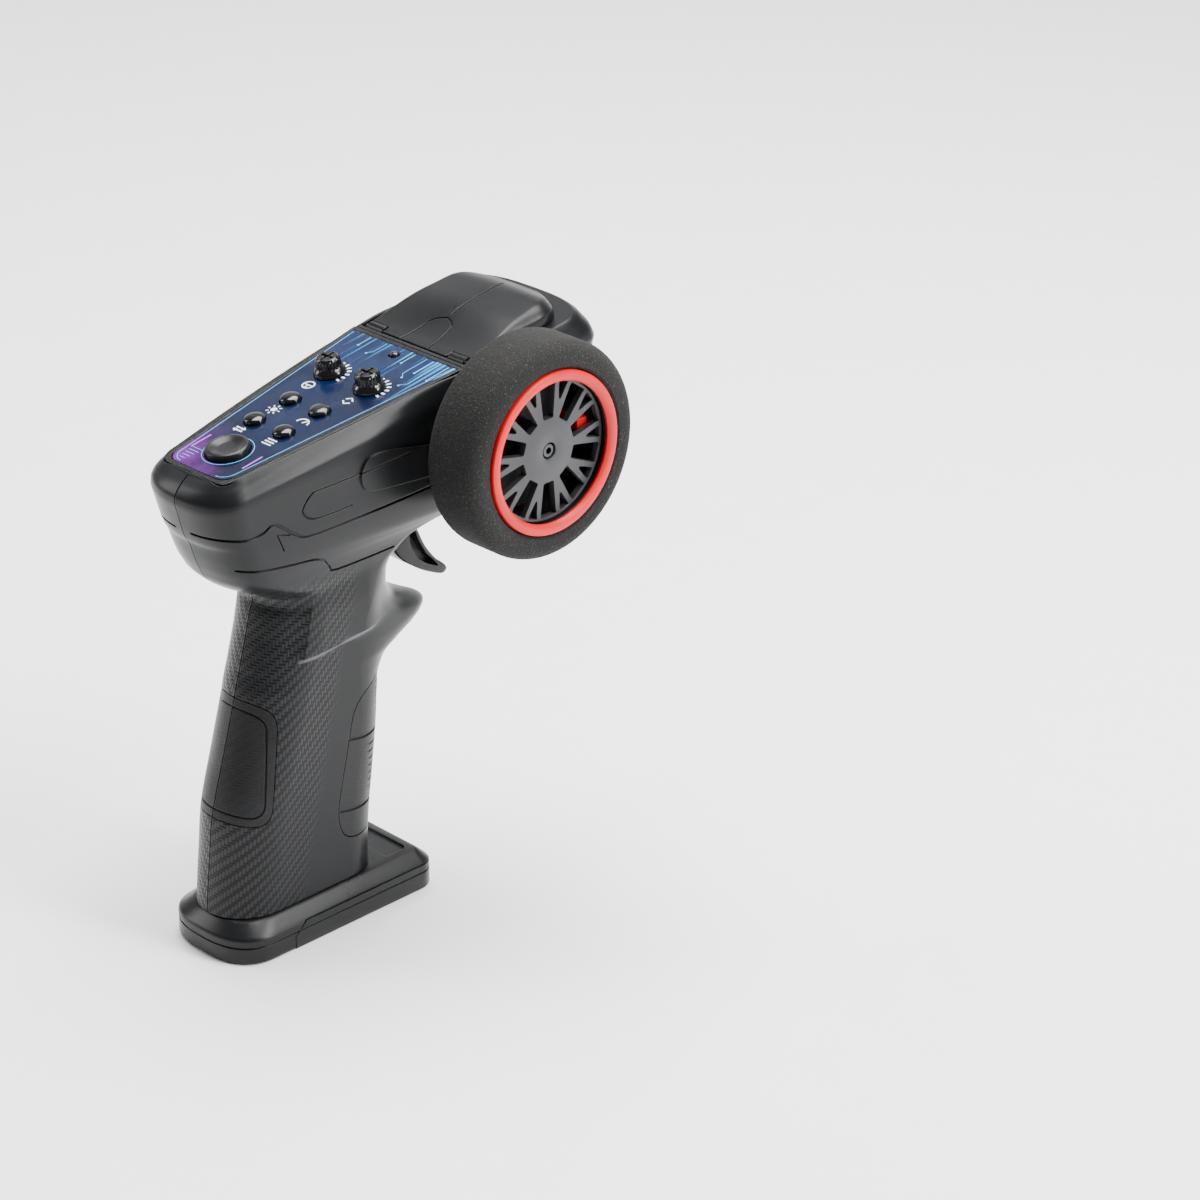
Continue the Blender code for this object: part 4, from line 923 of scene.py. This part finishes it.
def make_foot():
    side = softened([(0.7, 0.0), (0.0, 0.7), (0.0, 7.9), (3.7, 11.3), (4.4, 11.5)], 0.8, 4)
    foot = new_object("transmitter_foot", *foot_rings(side), look=SATIN)
    cut(foot, prism(COVER_WINDOW, -30.0, 30.0, axis="X"))
    cut(foot, cell_box(0.3, 5.0, 15.0))
    cut(foot, foot_line())
    lip = new_object("lip", *prism(foot_outline(6.3), 10.9, 14.0))
    cut(lip, prism([(-60, -60), (60, -60), (60, 22.6), (-60, 22.6)], 5.0, 20.0))
    cut(foot, lip)
    for x in (-FOOT_SCREW_X, FOOT_SCREW_X):
        for radius, top, steps in ((1.5, 15.0, 24), (3.0, 9.6, 32)):
            cut(foot, moved(rod(radius, 6.0, top, steps), Matrix.Translation((x, 0, 0))))
    return foot


def make_cover():
    side = [(0.7, 0.0), (0.2, 0.2), (0.0, 0.7), (0.0, 7.7)]
    cover = new_object("battery_hatch", *foot_rings(side), look=SATIN)
    keep = prism([(y + 0.3, z - 0.3 * (z > 5)) for y, z in COVER_WINDOW], -30.0, 30.0, axis="X")
    cut(cover, keep, "INTERSECT")
    cut(cover, block(-14.5, 14.5, -14.5, 31.0, 2.2, 12.0))
    grips = [block(-6.5, 6.5, 22.0 + 2.2 * k, 23.0 + 2.2 * k, -1.0, 0.5) for k in range(5)]
    cut(cover, join_shapes(grips))
    return cut(cover, foot_line())


# ---------------------------------------------------------------- control panel

BUTTONS = {"button_power": (0.0, 13.0, 6.1), "button_reverse": (-6.05, 27.5, 2.9),
           "button_mode": (6.05, 27.5, 2.9), "button_light": (-6.05, 40.3, 2.9),
           "button_speed": (6.05, 40.3, 2.9)}
TRIMS = {"trim_knob_left": -8.1, "trim_knob_right": 8.1}
TRIM_S = 56.5
LED_S = 73.0
LARGE_KEY, KEY_SHOULDER, KEY_TOP = 4.0, -1.95, 1.9


def panel_spot(x, s):
    return PANEL @ Matrix.Translation((x, s, 0))


def panel_holes(extra):
    holes = [(x, s, r + extra, 64) for x, s, r in BUTTONS.values()]
    holes += [(x, TRIM_S, 3.35 + extra, 64) for x in TRIMS.values()]
    holes.append((0, LED_S, 1.6 + extra * 0.4, 32))
    return join_shapes([moved(rod(r, -4.0, 3.0, steps), panel_spot(x, s)) for x, s, r, steps in holes])


def make_panel():
    frame_piece = new_object("panel_frame", *panel_prism(panel_outline(0.0), -1.6, 0.0), look=GLOSS)
    cut(frame_piece, panel_prism(panel_outline(1.2), -0.75, 3.0))
    cut(frame_piece, panel_holes(0.3))
    film = new_object("panel_film", *panel_prism(panel_outline(1.5), -0.45, 0.0), look=FILM)
    return frame_piece, cut(film, panel_holes(0.3))


def mark(name, outlines, ink):
    """Printed marks as thin shapes on the film, each outline in (x, s)."""
    return new_object(name, *join_shapes([panel_prism(o, 0.01, 0.05) for o in outlines]), look=ink)


def arc(x, s, radius, start, stop, width, steps=16):
    """A printed arc as a closed outline; angles in degrees from +x towards +s."""
    turns = [math.radians(start + (stop - start) * k / steps) for k in range(steps + 1)]
    outer, inner = ([polar(x, s, radius + side * width / 2, a) for a in turns] for side in (1, -1))
    return outer + inner[::-1]


def ring_marks(x, s, radius, width):
    return [arc(x, s, radius, start, start + 89.98, width) for start in (0.0, 90.0, 180.0, 270.0)]


def dash(x0, s0, x1, s1, width):
    return band([(x0, s0), (x1, s1)], width)


def disc(x, s, radius, steps=24):
    return [polar(x, s, radius, 2 * math.pi * k / steps) for k in range(steps)]


def reverse_icon(x, s):
    up = [(x - 1.15, s + 0.55), (x + 0.5, s + 0.55), (x + 0.5, s + 0.95), (x + 1.3, s + 0.4),
          (x + 0.5, s - 0.1), (x + 0.5, s + 0.25), (x - 1.15, s + 0.25)]
    return [up, [(2 * x - a, 2 * s - b) for a, b in up]]


def mode_icon(x, s):
    return [dash(x - 1.2, s + d, x + 1.2, s + d, 0.28) for d in (-0.75, 0.0, 0.75)]


def light_icon(x, s):
    turns = [k * math.pi / 4 for k in range(8)]
    return [disc(x, s, 0.62)] + [dash(*polar(x, s, 1.0, a), *polar(x, s, 1.5, a), 0.22) for a in turns]


def speed_icon(x, s):
    return [arc(x, s - 0.5, 1.35, 0, 180, 0.28), dash(x, s - 0.4, x + 0.75, s + 0.6, 0.26)]


def wheel_icon(x, s):
    spokes = [dash(x - 0.9, s, x + 0.9, s, 0.26), dash(x, s - 0.9, x, s - 0.2, 0.26)]
    return ring_marks(x, s, 1.15, 0.28) + spokes


def trigger_icon(x, s):
    return [band([(x - 0.9, s + 0.35 * k), (x, s + 1.05 * k), (x + 0.9, s + 0.35 * k)], 0.3)
            for k in (-1, 1)]


def knob_ticks(x):
    """Broad ticks round the front right of a trim knob."""
    turns = [math.radians(48 + (k - 3.5) * 19) for k in range(8)]
    return [dash(*polar(x, TRIM_S, 4.75, a), *polar(x, TRIM_S, 6.0, a), 0.62) for a in turns]


# Each trace's x, length, width and bend
TRACES = ((18.6, 8.0, 0.3, 0.0), (15.4, 14.0, 0.16, 1.6), (12.6, 7.0, 0.4, 0.0), (9.9, 10.5, 0.16, -1.4),
          (5.2, 5.0, 0.22, 0.0), (-6.4, 6.5, 0.14, 1.2), (-13.0, 4.6, 0.2, 0.0))
TRACE_FRONT = 76.2


def circuit_lines():
    """Traces that run back from the film's front edge, some with a bend, each ending in a dot."""
    marks = []
    for x, length, wide, bend in TRACES:
        back = TRACE_FRONT - length
        turn = [(x, back + abs(bend))] if bend else []
        marks.append(band([(x, TRACE_FRONT), *turn, (x - bend, back)], wide))
        marks.append(disc(x - bend, back - 0.3, 0.36, 14))
    for k in range(5):
        s = 4.0 + 1.3 * k
        marks.append(dash(-9.4 - 0.2 * k, s, -7.2 + 0.35 * k, s, 0.14))
    return marks


def frame_marks():
    """A thin border line along both sides of the film and round its rear."""
    edge = panel_outline(2.3, steps=8)
    half = len(edge) // 2
    return [band(edge[:half], 0.16), band(edge[half:], 0.16)]


def enlarged(outlines, x, s, factor):
    return [[(x + (a - x) * factor, s + (b - s) * factor) for a, b in o] for o in outlines]


def make_marks():
    icons = [outline for x in TRIMS.values() for outline in knob_ticks(x)]
    for icon, x, s in ((reverse_icon, -6.2, 22.2), (mode_icon, 6.2, 22.2), (light_icon, -6.1, 34.4),
                       (speed_icon, 6.1, 34.4), (wheel_icon, -8.1, 48.6), (trigger_icon, 8.1, 48.6)):
        icons += enlarged(icon(x, s), x, s, 1.5)
    power_x, power_s, power_radius = BUTTONS["button_power"]
    rings = ring_marks(power_x, power_s, power_radius + 1.0, 0.16)
    accents = [dash(x, 9.0, x, 16.0, 0.5) for x in (-10.6, 10.6)]
    return [mark("icon_print", icons, WHITE_INK), mark("ring_print", rings, CYAN_INK),
            mark("circuit_print", circuit_lines() + frame_marks(), CYAN_INK),
            mark("accent_print", accents, VIOLET_INK)]


def make_button(name, x, s, radius):
    """A key's cap: the large one is dished, the small ones are domed."""
    flange = radius + 0.9
    base = [(0, -3.3), (1.6, -3.3), (1.6, -2.9), (flange, -2.9), (flange, KEY_SHOULDER),
            (radius, KEY_SHOULDER)]
    look = SATIN if radius > LARGE_KEY else GLOSS
    if radius > LARGE_KEY:
        dish = [(radius, KEY_SHOULDER), (radius, KEY_TOP - 0.35), (radius - 0.9, KEY_TOP),
                (radius - 1.5, KEY_TOP - 0.1), (radius * 0.45, KEY_TOP - 0.75), (0, KEY_TOP - 0.85)]
        cap = softened(dish, 0.6, 5)[1:]
    else:
        turns = [QUARTER * k / 14 for k in range(15)]
        cap = [(radius * math.cos(a) ** 0.75, 0.75 + math.sin(a)) for a in turns]
    return new_object(name + "_cap", *lathe(base + cap, 72), look=look, matrix=panel_spot(x, s))


def cross_slot(piece, place, reach, half, low, high):
    cut(piece, moved(block(-reach, reach, -half, half, low, high), place))
    return cut(piece, moved(block(-half, half, -reach, reach, low, high), place))


def make_knob(name, x):
    """A knurled trim knob with a cross slot."""
    profile = [(0, -2.9), (1.5, -2.9), (1.5, -1.0), (3.2, -1.0), (3.2, 0.2), (4.6, 0.3), (4.5, 0.8),
               (4.2, 1.6), (3.6, 2.1), (3.45, 2.4), (3.4, 4.4), (3.0, 5.0), (2.7, 5.2), (0, 5.2)]
    points, faces = lathe(profile, 96)
    shaped = []
    for px, py, pz in points:
        r = math.hypot(px, py)
        if 2.3 < pz < 4.9 and r > 3.2:
            r2 = r + 0.13 * math.cos(24 * math.atan2(py, px))
            px, py = px * r2 / r, py * r2 / r
        shaped.append((px, py, pz))
    place = panel_spot(x, TRIM_S)
    knob = new_object(name + "_knob", shaped, faces, look=GLOSS, matrix=place)
    return cross_slot(knob, place, 2.4, 0.45, 4.3, 7.0)


def make_lamp():
    led = softened([(1.35, -2.4), (1.35, 0.2), (1.0, 0.75), (0, 0.9)], 0.3, 4)
    return new_object("status_lens", *lathe([(0, -2.4)] + led, 40), look=LENS, matrix=panel_spot(0, LED_S))


# ---------------------------------------------------------------- lid

def lid_top(x, s):
    """Height of the lid's top: crowned, with a crest along each side above a hollow wall."""
    rise = 2.1 * ease(s, 82.0, 104.0)
    crown = 0.9 * ease(s, 84.0, 100.0) * (1 - (x / LID_HALF) ** 2)
    nose = 3.0 * ease(s, 110.0, 121.5) ** 2
    wall = 0.5 + 3.2 * ease(s, 86.0, 112.0)
    inward = min(max((lid_half_width(s) - abs(x)) / wall, 0.0), 1.0)
    return rise + crown - nose - 2.2 * ease(s, 84.0, 108.0) * (1.0 - inward) ** 1.6


def lid_half_width(s):
    grow = LID_HALF - 0.7 + 0.7 * ease(s, 80.0, 100.0)
    if s > LID_FRONT - LID_CORNER:
        f = (s - LID_FRONT + LID_CORNER) / LID_CORNER
        grow -= LID_CORNER * (1 - math.sqrt(max(1 - f ** 2, 0.0)))
    return grow


def lid_section(s, inset, drop, floor, steps=96):
    half = lid_half_width(s) - inset
    edge = max(lid_top(half, s) - drop - 0.9, floor + 0.05)
    ring = [(-half, s, floor), (half, s, floor), (half, s, edge)]
    for k in range(steps + 1):
        a = math.pi * k / steps
        x = half * math.copysign(abs(math.cos(a)) ** 0.8, math.cos(a)) * 0.99
        ring.append((x, s, max(lid_top(x, s) - drop, floor + 0.1)))
    ring.append((-half, s, edge))
    return [tuple(on_panel(*p)) for p in ring]


def lid_stations(start, stop, count=60):
    even = [start + (stop - 9.0 - start) * k / count for k in range(count + 1)]
    return even + [stop - 9.0 + 9.0 * math.sin(QUARTER * k / 20) for k in range(1, 21)]


def shell_floor(s):
    return -1.5 if s < LID_PIN[0] + 2.2 else min(-3.1, -deck_drop(s, 0.0)) + 0.6


def lid_grooves():
    """The key-shaped outline at the rear and the line down the middle."""
    key = [(-5.6, 80.0), (-4.8, 86.5), (-4.2, 91.5), (0.0, 94.0), (4.2, 91.5), (4.8, 86.5), (5.6, 80.0)]
    return [band(softened(key, 1.6, 6), 0.5), band([(0.0, 95.2), (0.0, 115.5)], 0.5)]


def make_lid():
    turn = LID_PIN[0] + 2.1
    stations = [LID_REAR, turn, *lid_stations(turn + 0.2, LID_FRONT - 0.3)]
    lid = new_object("battery_lid_top", *loft([lid_section(s, 0.0, 0.0, shell_floor(s)) for s in stations]),
                     look=LID)
    hollow = [lid_section(s, 1.6, 1.7, -8.0, 40) for s in lid_stations(LID_PIN[0] + 4.6, LID_FRONT - 2.0, 24)]
    cut(lid, loft(hollow))
    grooves = new_object("lid_grooves", *join_shapes([panel_prism(g, -2.0, 6.0) for g in lid_grooves()]))
    below = [lid_section(s, -0.5, 0.45, -6.0) for s in lid_stations(LID_REAR - 2.0, LID_FRONT + 2.0)]
    cut(lid, cut(grooves, loft(below)))
    for low, high in ((-24.0, -12.9), (12.9, 24.0)):
        cut(lid, panel_prism([(low, 78.0), (high, 78.0), (high, 83.2), (low, 83.2)], -4.0, 4.0))
    for low, high in ((-19.6, -13.4), (13.4, 19.6)):
        cut(lid, moved(rod(1.75, low, high, 48), lid_axis()), "UNION")
        cut(lid, moved(rod(1.0, low - 2, high + 3.5, 32), lid_axis()))
    return lid


# ---------------------------------------------------------------- steering wheel

SPOKES = 10


def at_wheel(x=0.0):
    return along_x(x, *WHEEL)


def wheel_ring(name, profile, steps, look):
    return new_object(name, *lathe(profile, steps, closed=True), look=look, matrix=at_wheel())


def make_tyre():
    """Foam tyre: straight tread, large soft shoulders and a tucked-in inner edge."""
    r, back, front, edge = 31.0, 31.0, 50.6, 4.6
    turns = [QUARTER * k / 12 for k in range(13)]
    profile = [(23.6, back + 1.0), (24.4, back + 0.15)]
    profile += [(r - edge + edge * math.sin(a), back + edge - edge * math.cos(a)) for a in turns]
    profile += [(r - edge + edge * math.cos(a), front - edge + edge * math.sin(a)) for a in turns]
    profile += [(24.4, front - 0.15), (23.6, front - 0.9)]
    return wheel_ring("tyre_foam", profile, 160, FOAM)


def make_rim():
    profile = [(2.9, 29.6), (5.2, 29.6), (5.5, 29.9), (5.5, 32.4), (23.3, 32.4), (23.3, 48.8), (20.5, 48.8),
               (20.5, 34.6), (6.0, 34.6), (5.0, 45.2), (2.9, 45.2)]
    return wheel_ring("rim_barrel", profile, 144, BARREL)


def make_ring():
    profile = [(20.3, 49.1), (23.3, 49.1), (23.3, 50.3), (23.1, 50.7), (22.6, 50.95), (21.2, 50.85),
               (20.5, 50.5), (20.1, 49.9)]
    return wheel_ring("rim_ring", profile, 160, RED)


def sector(middle, low, high, half_low, half_high):
    """A window between two radii, as wide at each as twice its half-width, with rounded corners."""
    corners = []
    for radius, half in ((low, -half_low), (high, -half_high), (high, half_high), (low, half_low)):
        corners.append(polar(0.0, 0.0, radius, middle + half / radius))
    return prism(softened_ring(corners, 0.55, 4), -5.0, 5.0)


def make_spokes():
    """Ten forked spokes round a slightly raised hub."""
    profile = [(2.4, 47.9), (3.0, 48.1), (6.0, 48.1), (8.2, 47.85), (10.0, 47.6), (18.4, 47.4), (20.1, 47.7),
               (20.1, 45.6), (9.0, 45.6), (8.0, 46.0), (2.4, 46.0)]
    plate = wheel_ring("spoke_disc", profile, 120, GREY)
    pitch = 2 * math.pi / SPOKES
    shapes = []
    for k in range(SPOKES):
        shapes.append(sector(pitch * k, 9.4, 19.5, 1.85, 2.95))
        shapes.append(sector(pitch * (k + 0.5), 14.4, 19.5, 0.3, 1.75))
    return cut(plate, moved(join_shapes(shapes), at_wheel(47.0)))


def make_tab():
    """A red post on the rim's back wall that shows between two spokes."""
    ring = softened_ring([(-2.1, -1.9), (2.1, -1.9), (2.1, 1.9), (-2.1, 1.9)], 0.9, 4)
    y, z = WHEEL[0] + 15.8, WHEEL[1] + 2.4
    rows = [[(x, y + a * f, z + b * f) for a, b in ring] for x, f in ((34.3, 1.0), (43.9, 1.0), (44.4, 0.85))]
    return new_object("rim_tab", *loft(rows), look=RED)


def make_wheel_screw():
    profile = [(0, 44.9), (2.1, 44.9), (2.1, 47.2), (1.8, 47.6), (1.2, 47.7), (0, 47.7)]
    screw = new_object("wheel_bolt", *lathe(profile, 40), look=DARK_STEEL, matrix=at_wheel())
    return cut(screw, moved(prism(disc(0.0, 0.0, 1.05, 6), 46.2, 52.0), at_wheel()))


# ---------------------------------------------------------------- trigger

TRIGGER_PATH = [(48.8, 121.6), (45.6, 113.0), (43.4, 107.3), (44.6, 103.4), (46.9, 98.7), (50.3, 94.2),
                (52.8, 92.0), (54.4, 90.2), (54.0, 88.9), (52.0, 88.6), (46.1, 91.4), (41.6, 94.4),
                (37.6, 97.6), (34.9, 101.6), (34.0, 106.5), (35.6, 113.6), (39.2, 121.6)]
FINGER_HOLLOW = [(42.4, 105.5), (43.8, 101.6), (46.4, 97.0), (49.6, 93.6), (51.2, 91.4), (46.8, 93.6),
                 (43.2, 96.4), (41.0, 100.0), (40.2, 104.6)]


def trigger_ribs():
    """Cross ribs on the front of the trigger where the finger pulls, as notches in its outline."""
    front = curve_through([(43.9, 106.0), (45.1, 102.4), (47.4, 98.1), (50.4, 94.2)], 5)
    shapes = []
    for a, b in zip(front[1:-1:2], front[2::2]):
        d = (Vector(b) - Vector(a)).normalized()
        n = Vector((d.y, -d.x))
        sides = ((0.28, -0.45), (0.28, 1.2), (-0.28, 1.2), (-0.28, -0.45))
        shapes.append(prism([tuple(Vector(a) + d * f + n * g) for f, g in sides], -3.3, 3.3, axis="X"))
    return join_shapes(shapes)


def make_trigger():
    half = 4.7
    outline_yz = curve_through(TRIGGER_PATH + TRIGGER_PATH[:1])[:-1]
    after = outline_yz[1:] + outline_yz[:1]
    before = outline_yz[-1:] + outline_yz[:-1]
    rings = []
    for x, shrink in ((-half, 0.55), (-half + 0.15, 0.28), (-half + 0.5, 0.05), (-half + 0.9, 0.0),
                      (half - 0.9, 0.0), (half - 0.5, 0.05), (half - 0.15, 0.28), (half, 0.55)):
        ring = []
        for last, p, following in zip(before, outline_yz, after):
            d = (Vector(following) - Vector(last)).normalized()
            drawn_in = Vector(p) + Vector((d.y, -d.x)) * shrink
            ring.append((x, *drawn_in))
        rings.append(ring)
    trigger = new_object("throttle_trigger", *loft(rings), look=SATIN)
    cut(trigger, x_rod(5.0, -half - 0.2, half + 0.2, TRIGGER, 48), "UNION")
    cut(trigger, x_rod(1.6, -20.0, 20.0, TRIGGER))
    hollow = softened_ring(FINGER_HOLLOW, 1.0, 4)
    for side in (-1, 1):
        cut(trigger, window(hollow, side, half - 3.2, 9.0))
    return cut(trigger, trigger_ribs())


# ---------------------------------------------------------------- screws

def make_screw(number, y, z):
    profile = [(0, 0), (2.3, 0), (2.6, 0.35), (2.6, 1.4), (1.15, 1.8), (1.15, 17.0), (0, 17.4)]
    place = along_x(-10.6, y, z)
    screw = new_object(f"case_screw_{number}", *lathe(profile, 32), look=DARK_STEEL, matrix=place)
    return cross_slot(screw, place, 1.5, 0.28, -2.0, 0.8)


# ---------------------------------------------------------------- assembly

def dress_body():
    for side, sign in (("left", -1), ("right", 1)):
        finish_piece(make_casing(f"casing_{side}", sign), "housing", "black_plastic", f"{side}_casing")
        palm = make_pad(f"palm_pad_{side}", sign, PALM, palm_ribs())
        finish_piece(palm, "housing", "soft_rubber", f"palm_insert_{side}")
        fingers = make_pad(f"finger_pad_{side}", sign, FINGERS, finger_ribs())
        finish_piece(fingers, "housing", "soft_rubber", f"finger_grip_{side}")
    finish_piece(make_foot(), "housing", "black_plastic", "foot")
    finish_piece(make_cover(), "battery_hatch", "black_plastic", "battery_cover")
    for number, (y, z) in enumerate(SCREWS, 1):
        finish_piece(make_screw(number, y, z), "housing", "steel", f"casing_screw_{number}")


def dress_panel():
    surround, film = make_panel()
    finish_piece(surround, "housing", "gloss_black", "control_panel")
    finish_piece(film, "housing", "panel_print", "panel_overlay")
    for piece in make_marks():
        finish_piece(piece, "housing", "panel_print")
    for name, key in BUTTONS.items():
        finish_piece(make_button(name, *key), name.replace("button", "key"), "gloss_black", name)
    for name, x in TRIMS.items():
        finish_piece(make_knob(name, x), name.replace("trim_knob", "knob"), "gloss_black", name)
    finish_piece(make_lamp(), "housing", "lamp_lens", "status_lamp")
    finish_piece(make_lid(), "lid", "black_plastic", "flip_lid")


def dress_moving():
    finish_piece(make_tyre(), "steering_wheel", "foam", "foam_tyre")
    finish_piece(make_rim(), "steering_wheel", "black_plastic", "wheel_rim")
    finish_piece(make_ring(), "steering_wheel", "red_plastic", "wheel_ring")
    finish_piece(make_spokes(), "steering_wheel", "grey_plastic", "wheel_spokes")
    finish_piece(make_tab(), "steering_wheel", "red_plastic")
    finish_piece(make_wheel_screw(), "steering_wheel", "steel", "wheel_screw")
    finish_piece(make_trigger(), "throttle", "black_plastic", "trigger")


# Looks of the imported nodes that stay, one or more names to each
KEPT = (
    (GREY, "steering_bush steering_return_lever"),
    (STEEL, "steering_shaft steering_return_spring trigger_pin trigger_return_spring"),
    (STEEL, "lid_pin_left lid_pin_right foot_screw_left foot_screw_right"),
    (POT, "steering_potentiometer trigger_potentiometer trim_potentiometer_left trim_potentiometer_right"),
    (BOARD, "main_circuit_board"),
    (SATIN, "battery_box"),
    (WRAP, "battery_cell_front battery_cell_rear"),
    (NICKEL, "battery_contact_front battery_contact_rear battery_spring_front battery_spring_rear"),
    (NICKEL, "battery_bridge_plate"),
    (LEAD, "battery_lead"),
    (AERIAL, "aerial_wire"),
    (SWITCH, "tact_switch_power tact_switch_reverse tact_switch_mode tact_switch_light tact_switch_speed"),
)


def dress_kept():
    """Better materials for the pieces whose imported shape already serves."""
    for look, names in KEPT:
        for name in names.split():
            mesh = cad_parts[name].data
            mesh.materials.clear()
            mesh.materials.append(look)


# ---------------------------------------------------------------- stage

def make_stage():
    """A pale floor that curves up behind the object."""
    low = FRAME_BOX[0][2]
    reach, flat, radius, rise, steps = 9.0, 1.0, 0.6, 2.2, 14
    rows = [(-reach, 0.0), (flat, 0.0)]
    for a in (QUARTER * k / steps for k in range(1, steps + 1)):
        rows.append((flat + radius * math.sin(a), radius - radius * math.cos(a)))
    rows.append((flat + radius, rise))
    aim = Matrix.Rotation(math.radians(45.0), 4, "Z")
    ends = [aim @ Vector((side, forward, up + low)) for forward, up in rows for side in (-reach, reach)]
    points = [tuple(c / MM for c in p) for p in ends]
    faces = [[2 * k, 2 * k + 1, 2 * k + 3, 2 * k + 2] for k in range(len(rows) - 1)]
    look = Look("studio_paper", (0.8, 0.8, 0.8), 0.75)
    look.paint(look.mix(look.noise(60.0, 3.0), (0.88, 0.88, 0.885), (0.92, 0.92, 0.92)))
    look.bump(look.noise(900.0, 2.0), 0.05, 0.0001)
    new_object("studio_floor", points, faces, look=look.mat)


LIT_POINT = Vector((0.0, 0.02, 0.09))
# Each light's name, place, power, width and height
LIGHTS = (("overhead", (-0.1, 0.3, 1.25), 52.0, 1.0, 0.8),
          ("left_panel", (-1.1, -0.7, 0.7), 9.0, 0.35, 0.9),
          ("right_panel", (1.15, 0.45, 0.6), 20.0, 0.25, 0.8),
          ("front_strip", (0.62, 0.42, 0.95), 12.0, 0.5, 0.25))


def make_lights():
    for name, place, power, width, height in LIGHTS:
        data = bpy.data.lights.new(name, "AREA")
        data.shape, data.size, data.size_y = "RECTANGLE", width, height
        data.energy = power
        light = bpy.data.objects.new(name, data)
        light.location = place
        light.rotation_euler = (LIT_POINT - Vector(place)).to_track_quat("-Z", "Y").to_euler()
        bpy.context.scene.collection.objects.link(light)
    world = bpy.context.scene.world or bpy.data.worlds.new("studio")
    bpy.context.scene.world = world
    world.use_nodes = True
    background = next(n for n in world.node_tree.nodes if n.type == "BACKGROUND")
    background.inputs["Color"].default_value = (0.93, 0.95, 1.0, 1.0)
    background.inputs["Strength"].default_value = 0.22


def make_camera():
    data = bpy.data.cameras.new("view")
    data.lens, data.sensor_width = 105.0, 36.0
    data.clip_start, data.clip_end = 0.01, 20.0
    camera = bpy.data.objects.new("view", data)
    right = Vector((0.70463, 0.70957, 0.0))
    up = Vector((-0.30548, 0.30335, 0.90259))
    back = Vector((0.64045, -0.63599, 0.43051))
    turn = Matrix((right, up, back)).transposed().to_4x4()
    camera.matrix_world = Matrix.Translation((0.67216, -0.54757, 0.50787)) @ turn
    bpy.context.scene.collection.objects.link(camera)
    bpy.context.scene.camera = camera


dress_body()
dress_panel()
dress_moving()
dress_kept()
make_stage()
make_lights()
make_camera()
